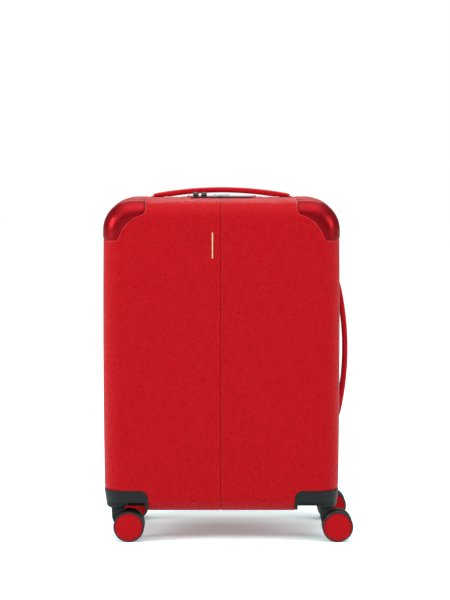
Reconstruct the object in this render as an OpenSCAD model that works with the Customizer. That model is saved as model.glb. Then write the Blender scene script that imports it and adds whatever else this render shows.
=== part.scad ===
// Cabin-size hard shell suitcase on four twin-wheel casters.
// Origin: on the floor, under the middle of the case. +Z is up, -Y is the front face.
// The two half shells meet at the zip, in the plane y = 0, and open like a book
// about a soft hinge on the left side.

/* [Case] */
// Width of the case at the zip
case_w = 373; // [360:1:390]
// Height of the case at the zip, without the wheels
case_h = 490.2; // [470:0.1:500]
// Depth of one half shell, from the zip to its flat face
half_d = 115; // [110:1:120]
// Height of the underside above the floor
floor_gap = 45; // [43:0.5:46]
// Radius of the corners in the front view
corner_r = 48; // [40:1:55]
// Radius of the edge between the sides and the flat face
fillet_r = 28; // [24:1:32]
// How much each half shell narrows from the zip to its fillet, on each side
draft = 2.2; // [1:0.1:3]
// How far the long sides bulge at mid height
side_crown = 2; // [0:0.5:4]
// Half width of the fabric zip band between the two shells
zip_half = 6; // [5:0.5:8]

/* [Skins] */
// Thickness of the leather
leather_t = 1.2; // [0.8:0.1:1.6]
// Thickness of the moulded shell under the leather
shell_t = 2.3; // [1.8:0.1:3]
// Thickness of the fabric lining
lining_t = 1; // [0.6:0.1:1.5]
// Gap between layers
layer_gap = 0.05; // [0.02:0.01:0.1]

/* [Corner caps] */
// Length of a cap along the top
cap_arm_x = 66; // [60:1:72]
// Length of a cap down the side
cap_arm_z = 61; // [56:1:68]
// Radius of the hollow inner edge of a cap
cap_arc_r = 50.4; // [46:0.2:52]
// Rounding of a cap's arm ends
cap_blend = 9; // [4:1:9]
// How far a cap stands proud of the leather
cap_proud = 0.7; // [0.3:0.1:1]

/* [Wheel housings] */
// Side of the square corner that a housing takes up
housing_w = 69; // [66:1:72]
// Height of a housing's upper edge above the floor
housing_top = 82; // [80:0.5:86]
// Height of the ceiling over the wheels
ceiling_z = 63; // [62:0.5:64]
// Wall thickness of a housing
housing_t = 3; // [2.5:0.5:4]

/* [Casters] */
// Wheel diameter over the tyre
wheel_d = 48; // [46:0.5:48]
// Width of one tyre
tyre_w = 13; // [12:0.5:13]
// Distance of a swivel axis from the middle plane, along X
swivel_x = 163; // [160:0.5:164]
// Distance of a swivel axis from the zip plane, along Y
swivel_y = 90; // [88:0.5:91]
// Distance from the swivel axis to the axle
trail = 18.4; // [16:0.2:19]
// Radius of the axle
axle_r = 3; // [2.5:0.1:3.5]
// Radius of the swivel stem
stem_r = 5; // [4:0.1:6]

/* [Trolley] */
// Distance of each tube from the middle plane
tube_x = 46; // [40:1:48]
// Distance of the tubes behind the zip plane
tube_y = 94; // [92:1:95]
// Length of the hand grip
grip_l = 113.6; // [110:0.2:114]

/* [Carry handles] */
// Length of a carry handle
handle_l = 226; // [220:1:230]
// Width of a carry handle's strap
handle_w = 24; // [20:1:26]
// Thickness of the strap in the middle
handle_t = 8; // [6:0.5:9]
// Distance of both handles behind the zip plane
handle_y = 28; // [26:1:32]
// Height of the side handle's middle above the floor
side_handle_z = 288.6; // [270:0.1:300]
// How far a handle lifts
handle_lift = 9; // [6:1:9]

/* [Lock and zip] */
// Length of the lock plate
lock_l = 98; // [94:1:104]
// Width of the lock plate
lock_w = 26; // [24:1:27]
// Distance between two number dials
dial_pitch = 9; // [8:0.5:10]
// Place along X of the left zip slider
slider_left_x = -41; // [-43:1:-40]
// Place along X of the right zip slider
slider_right_x = -28; // [-29:1:-26]

/* [Hidden] */

leather_red = [0.75, 0.09, 0.13];
cap_red = [0.78, 0.07, 0.1];
moulded_black = [0.13, 0.14, 0.15];
$fn = 48;

arc_n = 8;      // segments in a quarter corner
side_n = 4;     // segments along each straight side
fillet_n = 7;   // segments in the fillet profile
big = 60;       // overrun of cutting solids
slack = 0.2;    // clearance between fixed neighbours
run = 0.05;     // radial clearance of a shaft that turns
slide = 0.3;    // clearance of parts that slide

mid_z = floor_gap + case_h / 2;
top_z = floor_gap + case_h;
face_half_w = case_w / 2 - draft;      // half width where the fillet starts
face_top_z = top_z - draft;            // height of the top where the fillet starts
fillet_y = half_d - fillet_r;          // where the fillet starts
shell_out = leather_t + layer_gap;
shell_in = shell_out + shell_t;
lining_out = shell_in + 0.3;
lining_in = lining_out + lining_t;

// ---------------------------------------------------------------- shell surface

// Outline of the case, inset by e, as a rounded rectangle in X and Z
function corner_centre(q, hw, hh, r) =
    [(q == 0 || q == 3 ? 1 : -1) * (hw - r), (q < 2 ? 1 : -1) * (hh - r)];

function corner_point(q, i, hw, hh, r) =
    corner_centre(q, hw, hh, r) + r * [cos(90 * (q + i / arc_n)), sin(90 * (q + i / arc_n))];

function side_point(q, j, hw, hh, r) =
    let (
        a = corner_point(q, arc_n, hw, hh, r),
        b = corner_point((q + 1) % 4, 0, hw, hh, r)
    )
    a + (b - a) * j / side_n;

function crowned(p, hw, hh) = [p[0] * (1 + side_crown / hw * (1 - pow(p[1] / hh, 2))), p[1]];

function outline(e) =
    let (hw = case_w / 2 - side_crown - e, hh = case_h / 2 - e, r = corner_r - e)
    [
        for (q = [0:3])
            each concat(
                [for (i = [0:arc_n]) crowned(corner_point(q, i, hw, hh, r), hw, hh)],
                [for (j = [1:side_n - 1]) crowned(side_point(q, j, hw, hh, r), hw, hh)]
            )
    ];

outline_n = 4 * (arc_n + side_n);

// [inset, y] of the surface that lies t inside the leather's outer face
function profile(t, rim_y, depth) = concat(
    [[t + draft * rim_y / fillet_y, rim_y]],
    [
        for (i = [0:fillet_n])
            [
                draft + fillet_r - (fillet_r - t) * cos(90 * i / fillet_n),
                depth - fillet_r + (fillet_r - t) * sin(90 * i / fillet_n)
            ]
    ]
);

function rings(t, rim_y, depth) =
    [for (s = profile(t, rim_y, depth)) each [for (p = outline(s[0])) [p[0], s[1], p[1] + mid_z]]];

function band(a, b) =
    [
        for (i = [0:outline_n - 1])
            let (j = (i + 1) % outline_n)
            [a * outline_n + i, a * outline_n + j, b * outline_n + j, b * outline_n + i]
    ];

function ring_face(a) = [for (i = [0:outline_n - 1]) a * outline_n + i];

function flipped(face) = [for (i = [len(face) - 1:-1:0]) face[i]];

ring_n = fillet_n + 2;

// One solid half of the case, from the rim to the face, t inside the leather's outer face
module half_block(t, rim_y, depth = half_d) {
    polyhedron(
        points = rings(t, rim_y, depth),
        faces = concat(
            [for (k = [0:ring_n - 2]) each band(k, k + 1)],
            [flipped(ring_face(0))],
            [ring_face(ring_n - 1)]
        ),
        convexity = 4
    );
}

// An open tub between two such surfaces
module tub(t_out, t_in, rim_y, depth = half_d) {
    polyhedron(
        points = concat(rings(t_out, rim_y, depth), rings(t_in, rim_y, depth)),
        faces = concat(
            [for (k = [0:ring_n - 2]) each band(k, k + 1)],
            [ring_face(ring_n - 1)],
            [for (k = [0:ring_n - 2]) for (f = band(ring_n + k, ring_n + k + 1)) flipped(f)],
            [flipped(ring_face(2 * ring_n - 1))],
            band(ring_n, 0)
        ),
        convexity = 6
    );
}

// Puts a part that was drawn at the right rear on another side
module on_side(front = false, left = false) {
    mirror([0, front ? 1 : 0, 0]) mirror([left ? 1 : 0, 0, 0]) children();
}

// Extrudes a drawing in X and Z along Y, from y0 to y1
module along_y(y0, y1) {
    translate([0, y1, 0]) rotate([90, 0, 0]) linear_extrude(y1 - y0) children();
}

// Extrudes a drawing in Y and Z along X, from x0 to x1
module along_x(x0, x1) {
    translate([x0, 0, 0]) rotate([90, 0, 90]) linear_extrude(x1 - x0) children();
}

// A box between two corners
module box(low, high) {
    translate(low) cube(high - low);
}

// ---------------------------------------------------------------- corner caps

cap_arc_x = 73.9;      // middle of a cap's hollow edge, in from the side
cap_arc_z = 69.7;      // and down from the top
cap_rear_y = 62;       // how far towards the zip a cap reaches

module cap_outline(grow = 0) {
    offset(r = grow)
        offset(r = cap_blend)
            offset(r = -cap_blend)
                difference() {
                    translate([face_half_w - cap_arm_x, face_top_z - cap_arm_z])
                        square([cap_arm_x + big, cap_arm_z + big]);
                    translate([face_half_w - cap_arc_x, face_top_z - cap_arc_z])
                        circle(cap_arc_r);
                }
}

module cap_region(grow = 0) {
    along_y(cap_rear_y - grow, half_d + big) cap_outline(grow);
}

module cap() {
    intersection() {
        tub(-cap_proud, leather_t, zip_half);
        cap_region();
    }
}

// ---------------------------------------------------------------- wheel housings

housing_low = 47;                       // lowest edge of a housing's inner walls
housing_x = face_half_w - side_crown + 0.8;
housing_y = half_d + 0.4;
housing_taper = 0.13;                   // slope of the outer walls
plan_r = 27;                            // rounding of a housing's outer upright edge
housing_blend = 12.5;                   // rounding of a housing's upper inner corner
wall_t = 4.5;                           // thickness of the two inner walls
collar_r = 16.5;
collar_low = 57;
boss_top = 69.5;
rise = 6;                               // how far an inner wall rises at its outer end
rise_run = 30;                          // length of that slope

module housing_plan(inset) {
    hx = housing_x - inset;
    hy = housing_y - inset;
    translate([housing_x - housing_w, housing_y - housing_w])
        square([hx - housing_x + housing_w, hy - housing_y + housing_w - plan_r]);
    translate([housing_x - housing_w, housing_y - housing_w])
        square([hx - housing_x + housing_w - plan_r, hy - housing_y + housing_w]);
    translate([hx - plan_r, hy - plan_r]) circle(plan_r, $fn = 32);
}

module housing_profile(outer, grow) {
    inner = outer - housing_w - grow;
    top = housing_top + grow;
    translate([inner, 0]) square([big * 2, top - housing_blend]);
    translate([inner + housing_blend, 0]) square([big * 2, top]);
    translate([inner + housing_blend, top - housing_blend]) circle(housing_blend);
}

// The corner that a housing fills, larger by grow on its upper and inner sides
module corner_block(grow = 0, reach = 0) {
    intersection() {
        hull() {
            translate([0, 0, housing_top + grow]) linear_extrude(0.01) offset(delta = grow + reach)
                housing_plan(0);
            translate([0, 0, floor_gap - 3]) linear_extrude(0.01) offset(delta = grow + reach)
                housing_plan(housing_taper * (housing_top - floor_gap + 3));
        }
        along_y(0, half_d + big) housing_profile(housing_x, grow);
        along_x(0, case_w / 2 + big) housing_profile(housing_y, grow);
    }
}

// Space under the sloping outer end of an inner wall
module wall_rise(outer) {
    high = housing_low + rise;
    polygon([[outer - rise_run, 0], [outer + 1, 0], [outer + 1, high], [outer, high],
             [outer - rise_run, housing_low]]);
}

module housing() {
    inner_x = housing_x - housing_w;
    inner_y = housing_y - housing_w;
    floor_z = ceiling_z + 3.5;
    difference() {
        union() {
            difference() {
                corner_block();
                // space above the ceiling, open to the inside of the case
                intersection() {
                    box([inner_x - 1, inner_y - 1, floor_z],
                        [housing_x - housing_t - 2.5, housing_y - housing_t - 2.5, housing_top + 1]);
                    linear_extrude(housing_top + 1) offset(delta = -housing_t) hull() {
                        translate([-housing_w / 4, -housing_w / 4])
                            housing_plan(housing_taper * (housing_top - floor_z));
                        housing_plan(housing_taper * (housing_top - floor_z));
                    }
                }
                // space for the wheels
                box([inner_x + wall_t, inner_y + wall_t, 0], [housing_x + big, housing_y + big, collar_low]);
                box([inner_x + wall_t, inner_y + wall_t, 0],
                    [housing_x - housing_t - 4, housing_y + big, ceiling_z]);
                box([0, 0, 0], [case_w, case_w, housing_low]);
                // the inner walls rise towards their outer ends
                along_x(0, case_w) wall_rise(housing_y);
                along_y(0, case_w) wall_rise(housing_x);
            }
            translate([swivel_x, swivel_y, collar_low])
                cylinder(r = collar_r, h = floor_z - collar_low);
            translate([swivel_x, swivel_y, collar_low]) cylinder(r = 9, h = boss_top - collar_low);
        }
        translate([swivel_x, swivel_y, 0]) cylinder(r = stem_r + run, h = housing_top);
    }
}

// ---------------------------------------------------------------- half shells

// Cut-outs of the rear shell: trolley bezel and handle necks
bezel_half_l = 66;
bezel_front = 66;
bezel_low = 509;
neck = [14, 18];
handle_at = 104;                        // distance of a handle's tongues from its middle
top_wall = top_z - draft * handle_y / fillet_y;
side_wall = case_w / 2 - draft * handle_y / fillet_y - 0.4;

module bezel_hole(grow) {
    box([-bezel_half_l - grow, bezel_front - grow, bezel_low - grow],
        [bezel_half_l + grow, half_d + big, top_z + big]);
}

module on_top() {
    translate([0, handle_y, top_wall]) children();
}

module on_right() {
    translate([side_wall, handle_y, side_handle_z]) rotate([0, 90, 0]) children();
}

module both_ends() {
    for (s = [-1, 1])
        translate([s * handle_at, 0, 0]) children();
}

module neck_holes(grow, depth) {
    both_ends()
        translate([-neck[0] / 2 - grow, -neck[1] / 2 - grow, -depth])
            cube([neck[0] + 2 * grow, neck[1] + 2 * grow, depth + 10]);
}

module rear_cuts(grow, depth) {
    on_side() corner_block(grow, 1);
    on_side(left = true) corner_block(grow, 1);
    bezel_hole(grow);
    on_top() neck_holes(grow, depth);
    on_right() neck_holes(grow, depth);
}

// Cut-outs of the front shell: lock body
lock_back = -8;
lock_front = lock_back - lock_w;
lock_low = 518;
lock_margin = 4;

module lock_hole(grow) {
    box([-lock_l / 2 + lock_margin - grow, lock_front + 3 - grow, lock_low - 3 * grow],
        [lock_l / 2 - lock_margin + grow, lock_back - 3 + grow, top_z + big]);
}

module front_cuts(grow) {
    on_side(front = true) corner_block(grow, 1);
    on_side(front = true, left = true) corner_block(grow, 1);
    lock_hole(grow);
}

module rear_shell() {
    color([0.3, 0.3, 0.32])
        difference() {
            tub(shell_out, shell_in, zip_half);
            rear_cuts(slack, 8);
        }
}

module front_shell() {
    color([0.3, 0.3, 0.32])
        difference() {
            mirror([0, 1, 0]) tub(shell_out, shell_in, zip_half);
            front_cuts(slack);
        }
}

module rear_leather() {
    color(leather_red)
        difference() {
            tub(0, leather_t, zip_half);
            rear_cuts(slack, 8);
            cap_region(slack);
            on_side(left = true) cap_region(slack);
        }
}

module front_leather() {
    color(leather_red)
        difference() {
            mirror([0, 1, 0]) tub(0, leather_t, zip_half);
            front_cuts(slack);
            on_side(front = true) cap_region(slack);
            on_side(front = true, left = true) cap_region(slack);
        }
}

// ---------------------------------------------------------------- linings and zip

lining_back = 84;                       // the rear lining hides the trolley tubes

module housing_room() {
    box([housing_x - housing_w - 2, housing_y - housing_w - 2, 0], [case_w, case_w, housing_top + 3]);
}

module bracket_room() {
    both_ends() translate([-14, -14, -29]) cube([28, 28, 40]);
}

module rear_lining() {
    color([0.22, 0.2, 0.22])
        difference() {
            tub(lining_out, lining_in, zip_half, lining_back);
            on_side() housing_room();
            on_side(left = true) housing_room();
            bezel_hole(2);
            on_top() bracket_room();
            on_right() bracket_room();
        }
}

module front_lining() {
    color([0.22, 0.2, 0.22])
        difference() {
            mirror([0, 1, 0]) tub(lining_out, lining_in, zip_half);
            on_side(front = true) housing_room();
            on_side(front = true, left = true) housing_room();
            lock_hole(2);
        }
}

zip_gap = 0.3;                          // from the zip plane to each tape
tape_in = 0.8;                          // how far the tape lies inside the leather's face
tape_t = 1.5;

module zip_tape() {
    along_y(zip_gap, zip_half - 0.02)
        difference() {
            translate([0, mid_z]) polygon(outline(tape_in));
            translate([0, mid_z]) polygon(outline(tape_in + tape_t));
        }
}

module rear_zip_tape() {
    color([0.45, 0.05, 0.08]) zip_tape();
}

module front_zip_tape() {
    color([0.45, 0.05, 0.08]) mirror([0, 1, 0]) zip_tape();
}

hinge_span = 180;                       // half length of the hinge tape
hinge_reach = 22;                       // how far it runs over the lining

module hinge_tape() {
    tape_x = -case_w / 2 + lining_in + side_crown + 0.6;
    color([0.2, 0.18, 0.2])
        box([tape_x, zip_half, mid_z - hinge_span], [tape_x + 0.8, hinge_reach, mid_z + hinge_span]);
}

// ---------------------------------------------------------------- carry handles

bracket_top = -4.2;                     // the bracket's body lies under the shell
bracket_low = -17.5;
slot = [3, 14.6];
tongue = [2.4, 14];
arch_top = 0.000865;                    // curvature of the strap's top
arch_under = 0.00095;                   // and of its underside
strap_rest = 0.8;                       // height of the strap's ends over the leather
strap_gap = 7.4;                        // height of the strap's middle over the leather
strap_n = 24;

module bracket() {
    difference() {
        union() {
            translate([-12, -12, bracket_low]) cube([24, 24, bracket_top - bracket_low]);
            translate([-neck[0] / 2, -neck[1] / 2, bracket_top - 1]) cube([neck[0], neck[1], 5.4]);
        }
        translate([-slot[0] / 2, -slot[1] / 2, -big / 2]) cube([slot[0], slot[1], big]);
    }
}

module handle_brackets() {
    color(moulded_black) {
        on_top() both_ends() bracket();
        on_right() both_ends() bracket();
    }
}

// Upper and lower heights of the strap at x, raised by lift at its middle
function strap_top(x, lift) = strap_gap + handle_t + lift - (arch_top + lift / 12769) * x * x;
function strap_under(x, lift) =
    max(strap_rest, strap_gap + lift - (arch_under + lift / 12769) * x * x);

// Half width of the strap, narrower and round at its ends
function strap_half(x) =
    let (u = max(0, abs(x) - (handle_l / 2 - handle_w / 2)) / (handle_w / 2))
    handle_w / 2 * max(0.45, sqrt(max(0, 1 - u * u)));

function strap_ring(x, lift) =
    let (
        h = strap_half(x),
        low = strap_under(x, lift),
        high = strap_top(x, lift),
        c = min(2.2, (high - low) / 3)
    )
    [
        [x, -h + c, low], [x, h - c, low], [x, h, low + c], [x, h, high - c],
        [x, h - c, high], [x, -h + c, high], [x, -h, high - c], [x, -h, low + c]
    ];

module strap(lift) {
    span = handle_l / 2 - 0.5;
    n = 8;
    polyhedron(
        points = [for (i = [0:strap_n]) each strap_ring(span * (2 * i / strap_n - 1), lift)],
        faces = concat(
            [
                for (k = [0:strap_n - 1]) for (i = [0:n - 1])
                    let (j = (i + 1) % n)
                    [k * n + i, (k + 1) * n + i, (k + 1) * n + j, k * n + j]
            ],
            [[for (i = [0:n - 1]) i]],
            [[for (i = [n - 1:-1:0]) strap_n * n + i]]
        )
    );
}

module handle(lift) {
    strap(lift);
    both_ends() {
        translate([-tongue[0] / 2, -tongue[1] / 2, bracket_low - handle_lift - 1])
            cube([tongue[0], tongue[1], handle_lift + 1 - bracket_low + strap_rest + 2]);
        translate([-4, -tongue[1] / 2, bracket_low - handle_lift - 3])
            cube([8, tongue[1], 3]);
    }
}

module top_handle() {
    color(leather_red) on_top() handle(0);
}

module side_handle() {
    color(leather_red) on_right() handle(2.5);
}

// ---------------------------------------------------------------- trolley

guide_r = 9.5;
guide_in = 8.6;
middle_in = 7.2;
inner_r = middle_in - slide;
inner_in = 5.9;
tube_low = 64;
grip_low = 514;
grip_front = 83.5;
grip_back = 104.5;
grip_rise = 2.2;                        // height of the grip over the leather
button_l = 28;
button_w = 10;
button_y = 89;
fillet_z = face_top_z - fillet_r;       // middle of the fillet at the top rear edge

module pair() {
    for (s = [-1, 1])
        translate([s * tube_x, tube_y, 0]) children();
}

module tube(outer, inner, low, high) {
    translate([0, 0, low])
        difference() {
            cylinder(r = outer, h = high - low);
            translate([0, 0, -1]) cylinder(r = inner, h = high - low + 2);
        }
}

module trolley_bezel() {
    cavity = grip_l / 2 + 2;
    color(moulded_black)
        difference() {
            intersection() {
                half_block(-0.5, zip_half);
                bezel_hole(0);
            }
            box([-cavity, bezel_front + 4, bezel_low + 4], [cavity, grip_back + 1, top_z + big]);
            pair() translate([0, 0, bezel_low - 1]) cylinder(r = guide_in, h = 10);
        }
}

module trolley_guide_tubes() {
    color([0.6, 0.6, 0.62]) pair() tube(guide_r, guide_in, tube_low, bezel_low);
}

module trolley_foot() {
    foot_top = 78;
    color(moulded_black)
        difference() {
            along_x(-62, 62)
                polygon([
                    [tube_y - 12, 53], [tube_y, 53], [tube_y + 12, tube_low],
                    [tube_y + 12, foot_top], [tube_y - 12, foot_top]
                ]);
            pair() translate([0, 0, tube_low]) cylinder(r = guide_r + 0.02, h = 20);
        }
}

module trolley_middle_tubes() {
    color([0.7, 0.7, 0.72]) pair() tube(guide_in - slide, middle_in, tube_low + 10, bezel_low + 3.5);
}

module trolley_inner_tubes() {
    color([0.78, 0.78, 0.8]) pair() tube(inner_r, inner_in, tube_low + 16, grip_low + 10);
}

module grip_profile() {
    r = fillet_r + grip_rise;
    polygon(concat(
        [[grip_front, grip_low], [grip_front, fillet_z + r - 1.5], [grip_front + 1.5, fillet_z + r]],
        [
            for (i = [0:6])
                let (a = asin((grip_back - 1 - fillet_y) / r) * i / 6)
                [fillet_y + r * sin(a), fillet_z + r * cos(a)]
        ],
        [[grip_back, fillet_z + r * 0.82 - 1.2], [grip_back, grip_low]]
    ));
}

module trolley_grip() {
    color(leather_red)
        difference() {
            along_x(-grip_l / 2, grip_l / 2) grip_profile();
            box([-button_l / 2 - slide, button_y - button_w / 2 - slide, fillet_z + fillet_r - 7],
                [button_l / 2 + slide, button_y + button_w / 2 + slide, top_z + big]);
            pair() translate([0, 0, grip_low - 1]) cylinder(r = inner_r + 0.02, h = 11.2);
        }
}

module trolley_button() {
    button_top = 537;
    color([0.75, 0.76, 0.78])
        along_y(button_y - button_w / 2, button_y + button_w / 2)
            polygon([
                [-button_l / 2, button_top - 7.5], [button_l / 2, button_top - 7.5],
                [button_l / 2, button_top - 1.2], [button_l / 2 - 3, button_top],
                [-button_l / 2 + 3, button_top], [-button_l / 2, button_top - 1.2]
            ]);
}

// ---------------------------------------------------------------- lock

plate_low = top_z - 0.05;
plate_top = plate_low + 1.5;
dial_r = 5.2;
dial_w = 3.6;
dial_rise = 0.8;
dial_first_x = 19;
dial_z = plate_top + dial_rise - dial_r;
lock_mid_y = (lock_front + lock_back) / 2;
release_half = 12;                      // half length of the release slide
release_travel = 5;
release_x = 0.5;
release_rise = 2.4;                     // height of its dome over the plate

module dial_place(k) {
    translate([dial_first_x + (k - 1) * dial_pitch, lock_mid_y, dial_z]) rotate([0, 90, 0]) children();
}

module dial(k) {
    color([0.62, 0.63, 0.65])
        dial_place(k)
            difference() {
                translate([0, 0, -dial_w / 2]) cylinder(r = dial_r, h = dial_w);
                translate([0, 0, -dial_w]) cylinder(r = 1.5 + run, h = 2 * dial_w);
            }
}

module lock_case() {
    room = dial_r + 0.6;
    spindle_low = dial_first_x - dial_w;
    color([0.2, 0.21, 0.22])
        difference() {
            union() {
                lock_hole(0);
                box([-lock_l / 2, lock_front, plate_low], [lock_l / 2, lock_back, plate_top + 1]);
            }
            box([-lock_l, lock_front - 5, plate_top], [lock_l, lock_back + 5, top_z + 2 * big]);
            for (k = [1:3])
                difference() {
                    dial_place(k) translate([0, 0, -dial_w / 2 - slide])
                        cylinder(r = room, h = dial_w + 2 * slide);
                    translate([spindle_low, lock_mid_y, dial_z]) rotate([0, 90, 0])
                        cylinder(r = 1.5, h = 3 * dial_pitch + 2);
                }
            // pocket that the release slide runs in
            box([release_x - release_half - release_travel - slide, lock_mid_y - 4 - slide, plate_top - 4],
                [release_x + release_half + slide, lock_mid_y + 4 + slide, plate_top + 1]);
        }
}

module lock_button() {
    low = plate_top - 4 + slide;
    shoulder = 0.4;
    color([0.62, 0.63, 0.65])
        along_y(lock_mid_y - 4, lock_mid_y + 4)
            polygon(concat(
                [[release_x - release_half, low], [release_x + release_half, low]],
                [
                    for (i = [0:10])
                        [release_x + release_half * cos(18 * i),
                         plate_top + shoulder + (release_rise - shoulder) * sin(18 * i)]
                ]
            ));
}

// ---------------------------------------------------------------- zip sliders

slider_low = top_z - tape_in + 0.4;
slider_top = 539;
pin_y = -3.5;
pin_z = 541.2;
pin_r = 0.9;
pull_reach = 22;

module zip_slider(x) {
    color([0.15, 0.15, 0.16])
        translate([x, 0, 0]) {
            difference() {
                box([-5.4, -5, slider_low], [5.4, 5, slider_top]);
                // shoulders
                box([-6, -6, slider_low + 1.6], [-4.6, 6, slider_top + 1]);
                box([4.6, -6, slider_low + 1.6], [6, 6, slider_top + 1]);
            }
            for (s = [-1, 1])
                box([s * 3.4 - 1, pin_y - 1.5, slider_top - 1], [s * 3.4 + 1, pin_y + 1.5, pin_z + 1.4]);
            translate([-3, pin_y, pin_z]) rotate([0, 90, 0]) cylinder(r = pin_r, h = 6);
        }
}

module zip_pull(x) {
    neck_w = 1.9;
    color([0.12, 0.12, 0.13])
        translate([x, pin_y, pin_z])
            difference() {
                union() {
                    rotate([0, 90, 0]) translate([0, 0, -neck_w]) cylinder(r = 1.9, h = 2 * neck_w);
                    box([-neck_w, -5, -1.1], [neck_w, 0, 1.1]);
                    box([-3.8, -pull_reach, -1.1], [3.8, -4.5, 1.1]);
                }
                rotate([0, 90, 0]) translate([0, 0, -5]) cylinder(r = pin_r + run, h = 10);
                translate([0, -pull_reach + 5, -5]) cylinder(r = 2, h = 10);
            }
}

// ---------------------------------------------------------------- casters

wheel_r = wheel_d / 2;
blade_t = 10.5;
wheel_in = 6;                           // inner face of a wheel, from the fork's middle
wheel_out = wheel_in + tyre_w;
disc_r = 21.65;
rim_r = 19.5;
head_low = 51;
head_top = 56.7;
retainer_low = 69.8;

module place_caster(right, rear) {
    translate([right ? swivel_x : -swivel_x, rear ? swivel_y : -swivel_y, 0]) children();
}

// Side view of the blade between the two wheels, in X and Z
module blade_outline() {
    lug = 8;
    polygon(concat(
        [[-9, head_low + 0.6], [-8.2, 37], [-6.5, 31.5], [-3, 27.5]],
        [
            for (i = [0:8])
                let (a = 235 + 165 * i / 8)
                [trail + lug * cos(a), wheel_r + lug * sin(a)]
        ],
        [[14, 42], [10, head_low + 0.6]]
    ));
}

module fork() {
    color(moulded_black)
        difference() {
            union() {
                along_y(-blade_t / 2, blade_t / 2) blade_outline();
                rotate_extrude()
                    polygon([
                        [0, head_low], [9, head_low], [15.5, head_low + 4], [15.5, head_top],
                        [stem_r, head_top], [stem_r, retainer_low], [stem_r + 3, retainer_low],
                        [stem_r + 3, retainer_low + 2], [0, retainer_low + 2]
                    ]);
            }
            translate([trail, big / 2, wheel_r]) rotate([90, 0, 0]) cylinder(r = axle_r + 0.02, h = big);
        }
}

module axle() {
    reach = wheel_out - 2.2;
    color([0.7, 0.7, 0.72])
        translate([trail, reach, wheel_r]) rotate([90, 0, 0]) cylinder(r = axle_r, h = 2 * reach);
}

// Turns a profile about the axle; side is -1 for the front wheel and 1 for the rear one
module about_axle(side) {
    translate([trail, 0, wheel_r]) rotate([-90 * side, 0, 0]) rotate_extrude() children();
}

module wheel(side) {
    color(cap_red)
        about_axle(side)
            polygon([
                [axle_r + run, wheel_in], [7, wheel_in], [7, wheel_in + 1], [rim_r - 2, wheel_in + 1],
                [rim_r, wheel_in + 0.4], [rim_r, wheel_out], [disc_r, wheel_out],
                [disc_r, wheel_out + 0.5], [disc_r - 0.6, wheel_out + 1], [14, wheel_out + 1.3],
                [0, wheel_out + 1.4], [0, wheel_out - 1.8], [axle_r + run, wheel_out - 1.8]
            ]);
}

module tyre(side) {
    round_r = 2.2;
    color([0.1, 0.1, 0.11])
        about_axle(side)
            polygon(concat(
                [[rim_r + 0.02, wheel_in + 0.4]],
                [
                    for (i = [0:4])
                        [wheel_r - round_r + round_r * sin(22.5 * i),
                         wheel_in + round_r - round_r * cos(22.5 * i)]
                ],
                [
                    for (i = [0:4])
                        [wheel_r - round_r + round_r * cos(22.5 * i),
                         wheel_out - round_r + round_r * sin(22.5 * i)]
                ],
                [[rim_r + 0.02, wheel_out]]
            ));
}

// ---------------------------------------------------------------- nodes

rear_shell();
rear_leather();
color(cap_red) on_side(left = true) cap();  // rear_cap_left
color(cap_red) on_side() cap();  // rear_cap_right
color(moulded_black) on_side(left = true) housing();  // rear_housing_left
color(moulded_black) on_side() housing();  // rear_housing_right
rear_lining();
rear_zip_tape();
hinge_tape();
handle_brackets();
top_handle();
side_handle();
trolley_bezel();
trolley_guide_tubes();
trolley_foot();
trolley_middle_tubes();
trolley_inner_tubes();
trolley_grip();
trolley_button();
front_shell();
front_leather();
color(cap_red) on_side(true, true) cap();  // front_cap_left
color(cap_red) on_side(true) cap();  // front_cap_right
color(moulded_black) on_side(true, true) housing();  // front_housing_left
color(moulded_black) on_side(true) housing();  // front_housing_right
front_lining();
front_zip_tape();
lock_case();
dial(1);  // dial_1
dial(2);  // dial_2
dial(3);  // dial_3
lock_button();
zip_slider(slider_left_x);  // zip_slider_left
zip_slider(slider_right_x);  // zip_slider_right
zip_pull(slider_left_x);  // zip_pull_left
zip_pull(slider_right_x);  // zip_pull_right
place_caster(false, false) fork();  // front_left_fork
place_caster(false, false) axle();  // front_left_axle
place_caster(false, false) wheel(-1);  // front_left_wheel_a
place_caster(false, false) tyre(-1);  // front_left_tyre_a
place_caster(false, false) wheel(1);  // front_left_wheel_b
place_caster(false, false) tyre(1);  // front_left_tyre_b
place_caster(true, false) fork();  // front_right_fork
place_caster(true, false) axle();  // front_right_axle
place_caster(true, false) wheel(-1);  // front_right_wheel_a
place_caster(true, false) tyre(-1);  // front_right_tyre_a
place_caster(true, false) wheel(1);  // front_right_wheel_b
place_caster(true, false) tyre(1);  // front_right_tyre_b
place_caster(false, true) fork();  // rear_left_fork
place_caster(false, true) axle();  // rear_left_axle
place_caster(false, true) wheel(-1);  // rear_left_wheel_a
place_caster(false, true) tyre(-1);  // rear_left_tyre_a
place_caster(false, true) wheel(1);  // rear_left_wheel_b
place_caster(false, true) tyre(1);  // rear_left_tyre_b
place_caster(true, true) fork();  // rear_right_fork
place_caster(true, true) axle();  // rear_right_axle
place_caster(true, true) wheel(-1);  // rear_right_wheel_a
place_caster(true, true) tyre(-1);  // rear_right_tyre_a
place_caster(true, true) wheel(1);  // rear_right_wheel_b
place_caster(true, true) tyre(1);  // rear_right_tyre_b
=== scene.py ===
import math

import bmesh
import bpy
import numpy as np
from mathutils import Matrix, Vector


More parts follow.
